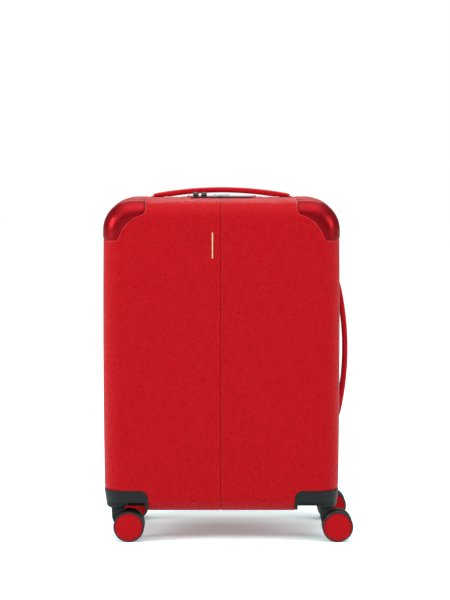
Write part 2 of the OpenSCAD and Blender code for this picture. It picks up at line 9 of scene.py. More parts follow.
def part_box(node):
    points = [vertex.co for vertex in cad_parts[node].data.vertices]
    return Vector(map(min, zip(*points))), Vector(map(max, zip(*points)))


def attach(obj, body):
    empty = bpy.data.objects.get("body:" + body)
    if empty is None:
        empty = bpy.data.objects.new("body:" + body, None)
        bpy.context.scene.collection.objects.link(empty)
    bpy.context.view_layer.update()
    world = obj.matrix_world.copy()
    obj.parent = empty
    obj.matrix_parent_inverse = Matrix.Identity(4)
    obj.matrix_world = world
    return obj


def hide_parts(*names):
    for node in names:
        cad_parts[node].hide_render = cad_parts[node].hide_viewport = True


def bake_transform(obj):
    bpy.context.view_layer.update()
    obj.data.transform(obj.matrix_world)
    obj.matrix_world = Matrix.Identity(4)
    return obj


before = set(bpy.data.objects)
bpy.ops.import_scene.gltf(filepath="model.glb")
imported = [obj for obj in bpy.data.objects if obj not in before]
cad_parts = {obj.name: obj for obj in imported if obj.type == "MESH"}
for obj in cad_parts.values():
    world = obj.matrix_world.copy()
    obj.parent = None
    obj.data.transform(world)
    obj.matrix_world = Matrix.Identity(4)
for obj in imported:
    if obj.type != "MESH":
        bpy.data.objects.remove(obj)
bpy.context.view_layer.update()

# ---------------------------------------------------------------- sizes, in metres

MM = 0.001
case_w, case_h, half_d = 373 * MM, 490.2 * MM, 115 * MM
floor_gap = 45 * MM
corner_r, fillet_r = 48 * MM, 28 * MM
draft, side_crown = 2.2 * MM, 2 * MM
zip_half = 6 * MM
mid_z = floor_gap + case_h / 2
top_z = floor_gap + case_h
face_half_w = case_w / 2 - draft
face_top_z = top_z - draft
fillet_y = half_d - fillet_r
half_w = case_w / 2 - side_crown        # half width of the outline before its bulge
half_h = case_h / 2
straight_x = half_w - corner_r          # half length of the straight stretches
straight_z = half_h - corner_r
leather_t = 1.2 * MM
seam_x = -1.2 * MM                      # middle seam between the two leather panels
stitch_x = seam_x + 2.3 * MM            # its row of stitches


# ---------------------------------------------------------------- materials

def node(tree, kind, settings=None, **inputs):
    """Adds a shader node; inputs are values, or sockets to link."""
    made = tree.nodes.new("ShaderNode" + kind)
    for key, value in (settings or {}).items():
        setattr(made, key, value)
    for key, value in inputs.items():
        socket = made.inputs[key.replace("_", " ")]
        if isinstance(value, bpy.types.NodeSocket):
            tree.links.new(value, socket)
        else:
            socket.default_value = value
    return made


def blank_material(name):
    made = bpy.data.materials.new(name)
    made.use_nodes = True
    made.node_tree.nodes.clear()
    return made, made.node_tree


def place(tree, scale=(1, 1, 1), turn=(0, 0, 0)):
    """Coordinates in metres, in the object's own frame, turned and scaled."""
    coords = node(tree, "TexCoord").outputs["Object"]
    return node(tree, "Mapping", Vector=coords, Scale=scale, Rotation=turn).outputs["Vector"]


def ramp(tree, value, low, high, to_low=0.0, to_high=1.0):
    made = node(tree, "MapRange", {"interpolation_type": "SMOOTHSTEP"}, Value=value, From_Min=low,
                From_Max=high, To_Min=to_low, To_Max=to_high)
    return made.outputs["Result"]


def noise(tree, where, scale, detail=3.0, rough=0.55):
    made = node(tree, "TexNoise", Vector=where, Scale=scale, Detail=detail, Roughness=rough)
    return made.outputs["Fac"]


def cells(tree, where, scale, feature="F1", smooth=0.5):
    made = node(tree, "TexVoronoi", {"feature": feature}, Vector=where, Scale=scale)
    if feature == "SMOOTH_F1":
        made.inputs["Smoothness"].default_value = smooth
    return made.outputs["Distance"]


def calc(tree, operation, a, b=0.0):
    made = tree.nodes.new("ShaderNodeMath")
    made.operation = operation
    for socket, value in zip(made.inputs, (a, b)):
        if isinstance(value, bpy.types.NodeSocket):
            tree.links.new(value, socket)
        else:
            socket.default_value = value
    return made.outputs[0]


def between(tree, factor, first, second):
    """Mixes two colours."""
    made = node(tree, "Mix", {"data_type": "RGBA"})
    tree.links.new(factor, made.inputs[0])
    for socket, value in zip((made.inputs[6], made.inputs[7]), (first, second)):
        if isinstance(value, bpy.types.NodeSocket):
            tree.links.new(value, socket)
        else:
            socket.default_value = (*value, 1)
    return made.outputs[2]


def bump(tree, height, strength, distance, under=None):
    made = node(tree, "Bump", Height=height, Strength=strength, Distance=distance)
    if under is not None:
        tree.links.new(under, made.inputs["Normal"])
    return made.outputs["Normal"]


def surface(tree, colour, roughness, normal, **constants):
    """Ends a material with a Principled shader; constants go straight on its sockets."""
    shader = node(tree, "BsdfPrincipled", Base_Color=colour, Roughness=roughness, Normal=normal,
                  **constants)
    out = tree.nodes.new("ShaderNodeOutputMaterial")
    tree.links.new(shader.outputs["BSDF"], out.inputs["Surface"])


def leather(name, tone, crevice_shade, pebble=2.7 * MM, depth=0.5, gloss=(0.44, 0.58)):
    """Pebbled leather: uneven grains on a slant, with painted shade in the creases between them, and broad
    tonal drift.
    """
    made, tree = blank_material(name)
    skew = place(tree, scale=(1, 1, 0.72), turn=(0.2, math.radians(38), 0.15))
    drift = noise(tree, place(tree), 60, 2)
    bent = node(tree, "VectorMath", {"operation": "ADD"})
    tree.links.new(skew, bent.inputs[0])
    wobble = node(tree, "VectorMath", {"operation": "SCALE"}, Scale=0.35 * pebble)
    tree.links.new(node(tree, "TexNoise", Vector=skew, Scale=0.9 / pebble).outputs["Color"],
                   wobble.inputs[0])
    tree.links.new(wobble.outputs[0], bent.inputs[1])
    edge = cells(tree, bent.outputs[0], 1 / pebble, "DISTANCE_TO_EDGE")
    small = cells(tree, bent.outputs[0], 2.1 / pebble, "DISTANCE_TO_EDGE")
    fine = noise(tree, place(tree), 2.6 / pebble, 4, 0.6)
    gaps = calc(tree, "MAXIMUM", ramp(tree, edge, 0.16, 0.0),
                calc(tree, "MULTIPLY", ramp(tree, small, 0.1, 0.0), 0.3))
    dome = ramp(tree, edge, 0.0, 0.42)
    height = calc(tree, "ADD", calc(tree, "SUBTRACT", dome, calc(tree, "MULTIPLY", gaps, 0.5)),
                  calc(tree, "MULTIPLY", fine, 0.3))
    lively = between(tree, ramp(tree, drift, 0.3, 0.7), tone, tuple(0.95 * c for c in tone))
    # Darker colour in the creases between the grains: painted shade.
    colour = between(tree, calc(tree, "MULTIPLY", gaps, 0.8), lively, crevice_shade)
    surface(tree, colour, ramp(tree, fine, 0.3, 0.7, *gloss), bump(tree, height, depth, 0.5 * MM),
            Specular_IOR_Level=0.24, Specular_Tint=(1, 0.2, 0.22, 1))
    return made


def gloss_cap(name, tone, shade):
    """Lacquered moulding: smooth, with a faint ripple and cloudy depth."""
    made, tree = blank_material(name)
    where = place(tree)
    cloud = noise(tree, where, 45, 2)
    ripple = noise(tree, where, 900, 2)
    colour = between(tree, ramp(tree, cloud, 0.35, 0.65), tone, shade)
    surface(tree, colour, ramp(tree, ripple, 0.3, 0.7, 0.3, 0.37), bump(tree, ripple, 0.08, 0.05 * MM),
            Metallic=0.55, Specular_IOR_Level=0.3, Specular_Tint=(1, 0.15, 0.16, 1))
    return made


def moulded(name, tone, scuffed, grain=0.6 * MM, gloss=(0.4, 0.55), depth=0.25):
    """Moulded plastic or rubber with a spark-eroded texture and slightly rubbed patches."""
    made, tree = blank_material(name)
    where = place(tree)
    pits = cells(tree, where, 1 / grain)
    rub = noise(tree, where, 35, 5, 0.65)
    colour = between(tree, ramp(tree, rub, 0.45, 0.75), tone, scuffed)
    height = calc(tree, "ADD", pits, calc(tree, "MULTIPLY", rub, 0.4))
    surface(tree, colour, ramp(tree, rub, 0.3, 0.7, *gloss), bump(tree, height, depth, 0.1 * MM),
            Specular_IOR_Level=0.2)
    return made


def brushed(name, tone, shade, along=(1, 1, 0.02), gloss=(0.22, 0.4)):
    """Drawn or brushed metal: fine lines along the long direction."""
    made, tree = blank_material(name)
    lines = noise(tree, place(tree, scale=along), 2600, 3, 0.7)
    patch = noise(tree, place(tree), 50, 2)
    colour = between(tree, calc(tree, "MULTIPLY", lines, patch), tone, shade)
    surface(tree, colour, ramp(tree, lines, 0.3, 0.7, *gloss), bump(tree, lines, 0.12, 0.03 * MM),
            Metallic=1.0)
    return made


def woven(name, warp, weft, pitch=0.8 * MM, turn=(0, 0, 0), sheen=0.25):
    """Plain weave: two crossed sets of threads, with slubs."""
    made, tree = blank_material(name)
    where = place(tree, turn=turn)
    bands = [
        node(tree, "TexWave", {"bands_direction": axis, "wave_profile": "SIN"}, Vector=where,
             Scale=0.314 / pitch, Distortion=0.4, Detail=1.0, Detail_Scale=2.0).outputs["Fac"]
        for axis in ("X", "Y", "Z")
    ]
    slub = noise(tree, where, 160, 3)
    over = calc(tree, "MAXIMUM", calc(tree, "MULTIPLY", bands[0], bands[2]),
                calc(tree, "MULTIPLY", bands[1], bands[2]))
    colour = between(tree, over, warp, weft)
    height = calc(tree, "ADD", over, calc(tree, "MULTIPLY", slub, 0.5))
    surface(tree, colour, ramp(tree, slub, 0.3, 0.7, 0.75, 0.92), bump(tree, height, 0.5, 0.2 * MM),
            Sheen_Weight=sheen, Sheen_Roughness=0.5)
    return made


def twisted(name, tone, shade, pitch=0.5 * MM):
    """Sewing thread: slanted plies."""
    made, tree = blank_material(name)
    plies = node(tree, "TexWave", {"bands_direction": "DIAGONAL"}, Vector=place(tree),
                 Scale=0.314 / pitch, Distortion=0.5).outputs["Fac"]
    surface(tree, between(tree, plies, shade, tone), ramp(tree, plies, 0, 1, 0.5, 0.7),
            bump(tree, plies, 0.4, 0.1 * MM))
    return made


def pale_floor(name):
    """Smooth studio floor, tinted slightly blue-green so that the case's red bounce light doesn't tint its
    shadow, and glowing faintly: painted light that lifts the shadow under the case and lights the case
    from below.
    """
    made, tree = blank_material(name)
    mottle = noise(tree, place(tree), 3, 3)
    surface(tree, between(tree, mottle, (0.80, 0.93, 0.93), (0.77, 0.90, 0.90)),
            ramp(tree, mottle, 0.3, 0.7, 0.85, 0.95), bump(tree, mottle, 0.02, 1 * MM),
            Specular_IOR_Level=0.1, Emission_Color=(0.83, 1, 1, 1), Emission_Strength=0.27)
    return made


red_leather = leather("red_leather", (0.40, 0.002, 0.006), (0.24, 0.001, 0.002), 3.1 * MM, 0.8,
                      (0.42, 0.54))
strap_leather = leather("strap_leather", (0.43, 0.004, 0.010), (0.30, 0.002, 0.005), 1.5 * MM, 0.35)
# Lighter copy of the red leather for the cap piping: painted highlight along its raised edge.
edge_leather_highlight = leather("edge_leather_highlight", (0.60, 0.02, 0.03), (0.48, 0.008, 0.014), 1.3 * MM, 0.3)
disc_leather = leather("disc_leather", (0.38, 0.003, 0.006), (0.30, 0.001, 0.003), 1.3 * MM, 0.3)
cap_gloss = gloss_cap("cap_gloss", (0.23, 0.004, 0.008), (0.20, 0.003, 0.006))
rim_gloss = gloss_cap("rim_gloss", (0.42, 0.005, 0.011), (0.37, 0.003, 0.007))
grip_red = moulded("grip_red", (0.45, 0.010, 0.018), (0.38, 0.008, 0.014), 0.5 * MM, (0.35, 0.5))
housing_black = moulded("housing_black", (0.0045, 0.005, 0.005), (0.0075, 0.008, 0.008), 0.7 * MM)
fork_black = moulded("fork_black", (0.008, 0.009, 0.009), (0.016, 0.017, 0.017), 0.5 * MM, (0.3, 0.45))
tyre_rubber = moulded("tyre_rubber", (0.012, 0.013, 0.013), (0.03, 0.033, 0.032), 0.4 * MM, (0.45, 0.65))
# Inner shell plastic, made near-black so that the gaps round the caps where it shows read dark: painted
# shade.
shell_plastic = moulded("shell_plastic", (0.012, 0.010, 0.010), (0.02, 0.018, 0.018), 1.5 * MM)
tube_metal = brushed("tube_metal", (0.36, 0.365, 0.375), (0.26, 0.265, 0.27), gloss=(0.28, 0.42))
dial_metal = brushed("dial_metal", (0.16, 0.165, 0.17), (0.1, 0.105, 0.11), (0.05, 1, 1), (0.3, 0.45))
steel = brushed("steel", (0.6, 0.61, 0.62), (0.42, 0.43, 0.45), (0.05, 1, 1), (0.18, 0.32))
brushed_button = brushed("brushed_button", (0.45, 0.455, 0.46), (0.32, 0.325, 0.33), (0.05, 1, 1),
                         (0.3, 0.42))
gunmetal = brushed("gunmetal", (0.09, 0.1, 0.105), (0.05, 0.055, 0.06), (0.05, 1, 1), (0.3, 0.45))
foil = brushed("foil", (0.86, 0.66, 0.42), (0.72, 0.5, 0.3), (1, 1, 0.1), (0.3, 0.5))
lining_fabric = woven("lining_fabric", (0.04, 0.036, 0.04), (0.018, 0.016, 0.018), 0.9 * MM, sheen=0.1)
tape_fabric = woven("tape_fabric", (0.24, 0.004, 0.008), (0.13, 0.002, 0.004), 0.7 * MM, sheen=0.03)
tooth_plastic = moulded("tooth_plastic", (0.25, 0.008, 0.014), (0.18, 0.005, 0.01), 0.3 * MM)
red_thread = twisted("red_thread", (0.16, 0.001, 0.003), (0.07, 0.0005, 0.001))
disc_thread = twisted("disc_thread", (0.03, 0.001, 0.001), (0.012, 0.0005, 0.001))


# ---------------------------------------------------------------- mesh tools

def solid(name, points, faces):
    """A new mesh object with its faces turned outwards."""
    mesh = bpy.data.meshes.new(name)
    mesh.from_pydata([tuple(map(float, p)) for p in points], [], [tuple(map(int, f)) for f in faces])
    made = bpy.data.objects.new(name, mesh)
    bpy.context.scene.collection.objects.link(made)
    return tidy(made, turn_outwards)


def tidy(piece, operation):
    work = bmesh.new()
    work.from_mesh(piece.data)
    operation(work)
    work.to_mesh(piece.data)
    work.free()
    return piece


def turn_outwards(work):
    bmesh.ops.recalc_face_normals(work, faces=work.faces)


def bake(piece):
    """Applies a piece's modifiers."""
    graph = bpy.context.evaluated_depsgraph_get()
    done = bpy.data.meshes.new_from_object(piece.evaluated_get(graph))
    old = piece.data
    piece.modifiers.clear()
    piece.data = done
    done.name = piece.name
    bpy.data.meshes.remove(old)
    return piece


def combine(first, second, operation, keep=False):
    """Boolean of two closed meshes; the second is used up unless it is kept."""
    cut = first.modifiers.new("cut", "BOOLEAN")
    cut.object, cut.operation, cut.solver = second, operation, "MANIFOLD"
    bake(first)
    if not keep:
        bpy.data.objects.remove(second)
    return first


def without(first, *others):
    for other in others:
        combine(first, other, "DIFFERENCE")
    return first


def merge_flat(work):
    """Joins the faces that lie in one plane."""
    bmesh.ops.remove_doubles(work, verts=work.verts, dist=0.002 * MM)
    bmesh.ops.dissolve_limit(work, angle_limit=math.radians(0.6), verts=work.verts, edges=work.edges)


def rounded(piece, width, segments=3, angle=32):
    """Rounds a hard piece's edges."""
    tidy(piece, merge_flat)
    edge = piece.modifiers.new("edge", "BEVEL")
    edge.limit_method, edge.angle_limit = "ANGLE", math.radians(angle)
    edge.width, edge.segments = width, segments
    return bake(piece)


def smooth(piece, angle=35):
    piece.data.polygons.foreach_set("use_smooth", [True] * len(piece.data.polygons))
    piece.data.set_sharp_from_angle(angle=math.radians(angle))
    return piece


def dress(piece, material, body, replaced=(), angle=35):
    """Gives a finished piece its material, its body and what it stands for."""
    smooth(piece, angle)
    piece.data.materials.clear()
    piece.data.materials.append(material)
    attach(piece, body)
    if replaced:
        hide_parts(*replaced)
    return piece


def loft(name, rings, loop=False):
    """Skins closed rings of equal length; the ends are closed unless the rings form a loop."""
    rings = [np.asarray(r, float) for r in rings]
    count, size = len(rings), len(rings[0])
    faces = []
    for k in range(count if loop else count - 1):
        a, b = k * size, (k + 1) % count * size
        faces += [(a + i, a + (i + 1) % size, b + (i + 1) % size, b + i) for i in range(size)]
    if not loop:
        faces += [tuple(range(size)), tuple(range((count - 1) * size, count * size))]
    return solid(name, np.concatenate(rings), faces)


def prism(name, outline, axis, low, high):
    """Extrudes a 2-D outline along one axis; its two numbers are the other axes, in order."""
    spots = [i for i in range(3) if i != axis]
    rings = []
    for level in (low, high):
        ring = np.zeros((len(outline), 3))
        ring[:, spots] = outline
        ring[:, axis] = level
        rings.append(ring)
    return loft(name, rings)


def block(name, low, high):
    corners = [(low[0], low[1]), (high[0], low[1]), (high[0], high[1]), (low[0], high[1])]
    return prism(name, corners, 2, low[2], high[2])


def lathe(name, profile, centre, axis, steps=96, loop=True):
    """Turns a profile of (radius, distance along the axis) about an axis through centre."""
    spots = [i for i in range(3) if i != axis]
    points, faces = [], []
    size = len(profile)
    for k in range(steps):
        turn = 2 * math.pi * k / steps
        for radius, along in profile:
            point = list(centre)
            point[axis] += along
            point[spots[0]] += radius * math.cos(turn)
            point[spots[1]] += radius * math.sin(turn)
            points.append(point)
    for k in range(steps):
        a, b = k * size, (k + 1) % steps * size
        for i in range(size if loop else size - 1):
            j = (i + 1) % size
            faces.append((a + i, a + j, b + j, b + i))
    made = solid(name, points, faces)
    return tidy(made, lambda w: bmesh.ops.remove_doubles(w, verts=w.verts, dist=0.001 * MM))


def arc(centre, radius, start, end, steps):
    """Points on a circle, angles in degrees."""
    turns = np.radians(np.linspace(start, end, steps + 1))
    return [(centre[0] + radius * math.cos(a), centre[1] + radius * math.sin(a)) for a in turns]


def mirrored(points, left=False, front=False):
    flip = np.array([-1 if left else 1, -1 if front else 1, 1], float)
    return np.asarray(points, float) * flip


def mirror_piece(piece, left, front):
    """Moves a piece drawn at the right rear to another corner."""
    piece.data.transform(Matrix.Diagonal((-1 if left else 1, -1 if front else 1, 1, 1)))
    return tidy(piece, turn_outwards)


def sweep(name, path, normals, section, loop=True):
    """Sweeps a small (across, up) section along a path that lies on a surface."""
    path, normals = np.asarray(path, float), np.asarray(normals, float)
    ahead = np.roll(path, -1, 0) - np.roll(path, 1, 0)
    if not loop:
        ahead[0], ahead[-1] = path[1] - path[0], path[-1] - path[-2]
    ahead /= np.linalg.norm(ahead, axis=1)[:, None]
    across = np.cross(ahead, normals)
    across /= np.linalg.norm(across, axis=1)[:, None]
    up = np.cross(across, ahead)
    rings = [[p + a * s[0] + u * s[1] for s in section] for p, a, u in zip(path, across, up)]
    return loft(name, rings, loop)


def round_section(radius, steps=8):
    return arc((0, 0), radius, 0, 360 * (1 - 1 / steps), steps - 1)


def stitches(name, path, normals, pitch, length, thick):
    """A row of sewn stitches, each a short bead that dives in at both ends."""
    path, normals = np.asarray(path, float), np.asarray(normals, float)
    gaps = np.linalg.norm(np.diff(path, axis=0), axis=1)
    reach = np.concatenate([[0], np.cumsum(gaps)])
    points, faces = [], []
    sides, hoops = 6, 5
    for k in range(int(reach[-1] / pitch)):
        middle = (k + 0.5) * pitch
        spot = [np.interp(middle, reach, path[:, i]) for i in range(3)]
        tip = [np.interp(middle + length / 2, reach, path[:, i]) for i in range(3)]
        ahead = np.array(tip) - spot
        ahead /= np.linalg.norm(ahead)
        up = np.array([np.interp(middle, reach, normals[:, i]) for i in range(3)])
        up -= ahead * (up @ ahead)
        up /= np.linalg.norm(up)
        across = np.cross(ahead, up)
        start = len(points)
        for h in range(hoops):
            t = 2 * h / (hoops - 1) - 1
            fat = thick * math.sqrt(max(0.06, 1 - t * t)) / 2
            base = spot + ahead * t * length / 2 - up * thick * 0.55 * t * t
            for s in range(sides):
                a = 2 * math.pi * s / sides
                points.append(base + across * fat * math.cos(a) + up * fat * math.sin(a))
        for h in range(hoops - 1):
            for s in range(sides):
                a, b = start + h * sides, start + (h + 1) * sides
                faces.append((a + s, a + (s + 1) % sides, b + (s + 1) % sides, b + s))
        faces.append(tuple(range(start, start + sides)))
        faces.append(tuple(range(start + (hoops - 1) * sides, start + hoops * sides)))
    return solid(name, points, faces)


def soften(name, material, width, segments=2):
    """Keeps a CAD node: new material, welded seams and rounded edges by modifiers."""
    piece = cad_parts[name]
    piece.data.materials.clear()
    piece.data.materials.append(material)
    if piece.data.has_custom_normals:
        with bpy.context.temp_override(object=piece, active_object=piece, selected_objects=[piece]):
            bpy.ops.mesh.customdata_custom_splitnormals_clear()
    piece.data.polygons.foreach_set("use_smooth", [True] * len(piece.data.polygons))
    weld = piece.modifiers.new("weld", "WELD")
    weld.merge_threshold = 0.01 * MM
    flat = piece.modifiers.new("flat", "DECIMATE")
    flat.decimate_type, flat.angle_limit = "DISSOLVE", math.radians(0.6)
    edge = piece.modifiers.new("edge", "BEVEL")
    edge.limit_method, edge.angle_limit = "ANGLE", math.radians(32)
    edge.width, edge.segments = width, segments
    piece.modifiers.new("shade", "WEIGHTED_NORMAL").keep_sharp = True
    return piece


# ---------------------------------------------------------------- the case's surface

def column_places():
    """Places of the mesh columns along X: even, and close together at the seam and stitches."""
    fine = [seam_x + d * MM for d in (-2.4, -1.6, -1.0, -0.6, -0.3, 0, 0.3, 0.6, 1.0)]
    fine += [stitch_x + d * MM for d in (-0.8, -0.4, 0, 0.4, 0.8, 1.4)]
    even = np.linspace(-straight_x, straight_x, 47)
    kept = [x for x in even if min(abs(x - f) for f in fine) > 2.2 * MM]
    return np.sort(np.array(kept + fine))


columns = column_places()
levels = np.linspace(-straight_z, straight_z, 67)
arc_steps = 16


def outline_frame():
    """For each point round the outline: its centre, its direction, and its place in the middle grid."""
    centre, direction, grid = [], [], []
    nx, nz = len(columns), len(levels)
    corners = [(1, 1, nx - 1, nz - 1), (-1, 1, 0, nz - 1), (-1, -1, 0, 0), (1, -1, nx - 1, 0)]
    for q, (sx, sz, i, j) in enumerate(corners):
        for k in range(arc_steps + 1):
            a = math.radians(90 * (q + k / arc_steps))
            centre.append((sx * straight_x, sz * straight_z))
            direction.append((math.cos(a), math.sin(a)))
            grid.append((i, j))
        if q == 0:
            side = [((columns[m], straight_z), (0, 1), (m, nz - 1)) for m in range(nx - 2, 0, -1)]
        elif q == 1:
            side = [((-straight_x, levels[m]), (-1, 0), (0, m)) for m in range(nz - 2, 0, -1)]
        elif q == 2:
            side = [((columns[m], -straight_z), (0, -1), (m, 0)) for m in range(1, nx - 1)]
        else:
            side = [((straight_x, levels[m]), (1, 0), (nx - 1, m)) for m in range(1, nz - 1)]
        for c, d, g in side:
            centre.append(c)
            direction.append(d)
            grid.append(g)
    return np.array(centre), np.array(direction), grid


outline_centre, outline_direction, outline_grid = outline_frame()


def bulge(x, z):
    """The long sides' slight outward bow, for x and z measured from the middle of the case."""
    return x * (1 + side_crown / half_w * (1 - (z / half_h) ** 2))


def profile_rows(rim_y, depth, rim_steps):
    """Rows from the rim to the flat face: inset, y and the normal's angle from the outline's plane."""
    turn = depth - fillet_r
    slope = math.atan(draft / turn)
    side = sorted({rim_y + s for s in rim_steps} | set(np.arange(rim_y + 6 * MM, turn - 3 * MM, 6 * MM)))
    rows = [(draft * y / turn, y, slope) for y in side]
    for a in np.radians(np.linspace(0, 90, 17)):
        rows.append((draft + fillet_r * (1 - math.cos(a)), turn + fillet_r * math.sin(a), max(a, slope)))
    rows += [(e * MM, depth, math.pi / 2) for e in (33, 37, 42, 47)]
    return rows


RIM = tuple(d * MM for d in (0, 0.12, 0.35, 0.7, 1.2, 2.5))


def half_sheet(offset, rim_y=zip_half, depth=half_d, rim_steps=RIM):
    """One skin of the rear half, at offset(x, y, z) along the normal; returns points, faces, ring size."""
    rows = profile_rows(rim_y, depth, rim_steps)
    points, faces = [], []
    for inset, y, turn in rows:
        ring = outline_centre + (corner_r - inset) * outline_direction
        h = offset(ring[:, 0], np.full(len(ring), y), ring[:, 1] + mid_z)
        ring = ring + (h * math.cos(turn))[:, None] * outline_direction
        x = bulge(ring[:, 0], ring[:, 1])
        points.append(np.stack([x, y + h * math.sin(turn), ring[:, 1] + mid_z], 1))
    size = len(outline_centre)
    for k in range(len(rows) - 1):
        a, b = k * size, (k + 1) * size
        faces += [(a + i, a + (i + 1) % size, b + (i + 1) % size, b + i) for i in range(size)]
    grid_x, grid_z = np.meshgrid(columns, levels, indexing="ij")
    grid_x, grid_z = grid_x.ravel(), grid_z.ravel()
    h = offset(grid_x, np.full(len(grid_x), depth), grid_z + mid_z)
    points.append(np.stack([bulge(grid_x, grid_z), depth + h, grid_z + mid_z], 1))
    start, tall = len(rows) * size, len(levels)
    last = (len(rows) - 1) * size
    spot = [start + i * tall + j for i, j in outline_grid]
    for i in range(size):
        j = (i + 1) % size
        corner = [last + i, last + j, spot[j], spot[i]]
        faces.append(tuple(corner if spot[i] != spot[j] else corner[:3]))
    for i in range(len(columns) - 1):
        for j in range(tall - 1):
            a = start + i * tall + j
            faces.append((a, a + tall, a + tall + 1, a + 1))
    return np.concatenate(points), faces, size


def half_shell(name, outer, inner, front=False, **shape):
    """A closed shell between two skins of one half of the case."""
    out_points, out_faces, size = half_sheet(outer, **shape)
    in_points, in_faces, _ = half_sheet(inner, **shape)
    shift = len(out_points)
    faces = out_faces + [tuple(i + shift for i in f) for f in in_faces]
    faces += [(i, (i + 1) % size, shift + (i + 1) % size, shift + i) for i in range(size)]
    return solid(name, mirrored(np.concatenate([out_points, in_points]), front=front), faces)


def half_solid(name, offset, front=False):
    """One half of the case as a solid block."""
    points, faces, size = half_sheet(lambda x, y, z: np.full(len(x), offset))
    return solid(name, mirrored(points, front=front), faces + [tuple(range(size))])


def inset_at(x, z):
    """How far a point in the front view lies inside the outline at the zip."""
    z = np.asarray(z, float) - mid_z
    x = np.asarray(x, float) / (1 + side_crown / half_w * (1 - (z / half_h) ** 2))
    dx, dz = np.abs(x) - straight_x, np.abs(z) - straight_z
    outside = np.hypot(np.maximum(dx, 0), np.maximum(dz, 0))
    return corner_r - outside - np.minimum(np.maximum(dx, dz), 0)


def face_height(inset):
    """y of the leather's face for an inset, and the normal's angle."""
    c = np.clip((draft + fillet_r - inset) / fillet_r, 0, 1)
    return fillet_y + fillet_r * np.sqrt(1 - c * c), np.arccos(c)


def outward(x, z):
    """Direction from the outline's middle lines to a point, in X and Z."""
    z = np.asarray(z, float) - mid_z
    dx = np.sign(x) * np.maximum(np.abs(x) - straight_x, 0)
    dz = np.sign(z) * np.maximum(np.abs(z) - straight_z, 0)
    long = np.hypot(dx, dz)
    side = np.where(half_w - np.abs(x) < half_h - np.abs(z), 1.0, 0.0)
    dx = np.where(long > 1e-9, dx, side * np.sign(x))
    dz = np.where(long > 1e-9, dz, (1 - side) * np.sign(z))
    long = np.hypot(dx, dz)
    return dx / long, dz / long


def on_face(x, z, lift=0.0):
    """Point and normal on the rear half's face or fillet over a point of the front view."""
    x, z = np.asarray(x, float), np.asarray(z, float)
    y, turn = face_height(inset_at(x, z))
    dx, dz = outward(x, z)
    normal = np.stack([dx * np.cos(turn), np.sin(turn), dz * np.cos(turn)], -1)
    return np.stack([x, y, z], -1) + lift * normal, normal


def on_rim(angle_or_side, y, lift=0.0):
    """Point and normal on the side walls: centre and direction of the outline, and y."""
    centre, direction = angle_or_side
    inset = draft * y / fillet_y
    spot = np.array(centre) + (corner_r - inset + lift) * np.array(direction)
    point = np.array([bulge(spot[0], spot[1]), y, spot[1] + mid_z])
    return point, np.array([direction[0], 0, direction[1]])


# ---------------------------------------------------------------- leather

def seam_dip(x):
    """The leather rolls down into the middle seam and under its stitches."""
    d = (x - seam_x) / MM
    s = (x - stitch_x) / MM
    return -MM * (0.85 * np.exp(-((d / 0.45) ** 2)) + 0.14 * np.exp(-((d / 1.3) ** 2))
                  + 0.18 * np.exp(-((s / 0.6) ** 2)))


def rim_roll(y, rim_y=zip_half, roll=0.7 * MM):
    """Rounding of a skin's cut edge at the zip."""
    d = np.clip(y - rim_y, 0, roll)
    return np.sqrt(roll * roll - (roll - d) ** 2) - roll


def leather_outer(x, y, z):
    return seam_dip(x) + rim_roll(y)


def leather_inner(x, y, z):
    return np.full(len(x), -leather_t)


# ---------------------------------------------------------------- corner caps

cap_end_x = face_half_w - 66 * MM
cap_end_z = face_top_z - 61 * MM
cap_arc_r, cap_blend = 50.4 * MM, 9 * MM
cap_arc = (face_half_w - 73.9 * MM, face_top_z - 69.7 * MM)
cap_rear_y = 62 * MM
cap_gap = 1.2 * MM


def cap_turns(grow):
    """Middle of the rounding at each arm end of a cap, for an outline that is larger by grow."""
    r, reach = cap_blend + grow, cap_arc_r + cap_blend
    low = (cap_arc[0] + math.sqrt(reach ** 2 - (cap_end_z + cap_blend - cap_arc[1]) ** 2),
           cap_end_z + cap_blend)
    high = (cap_end_x + cap_blend,
            cap_arc[1] + math.sqrt(reach ** 2 - (cap_end_x + cap_blend - cap_arc[0]) ** 2))
    return low, high, r


def cap_inner_edge(grow, steps=14):
    """The cap's inner edge in the front view: round arm end, hollow arc, round arm end."""
    low, high, r = cap_turns(grow)
    to_low = math.degrees(math.atan2(low[1] - cap_arc[1], low[0] - cap_arc[0]))
    to_high = math.degrees(math.atan2(high[1] - cap_arc[1], high[0] - cap_arc[0]))
    path = arc(low, r, 270, 180 + to_low, steps)
    path += arc(cap_arc, cap_arc_r - grow, to_low, to_high, 3 * steps)[1:]
    path += arc(high, r, 180 + to_high, 180, steps)[1:]
    return path


def cap_cutter(name, grow):
    """The space of a cap, larger by grow, as a prism through the right rear corner."""
    far, high = case_w, top_z + 50 * MM
    outline = [(far, cap_end_z - grow)] + cap_inner_edge(grow) + [(cap_end_x - grow, high), (far, high)]
    return prism(name, outline, 1, cap_rear_y - grow, half_d + 50 * MM)


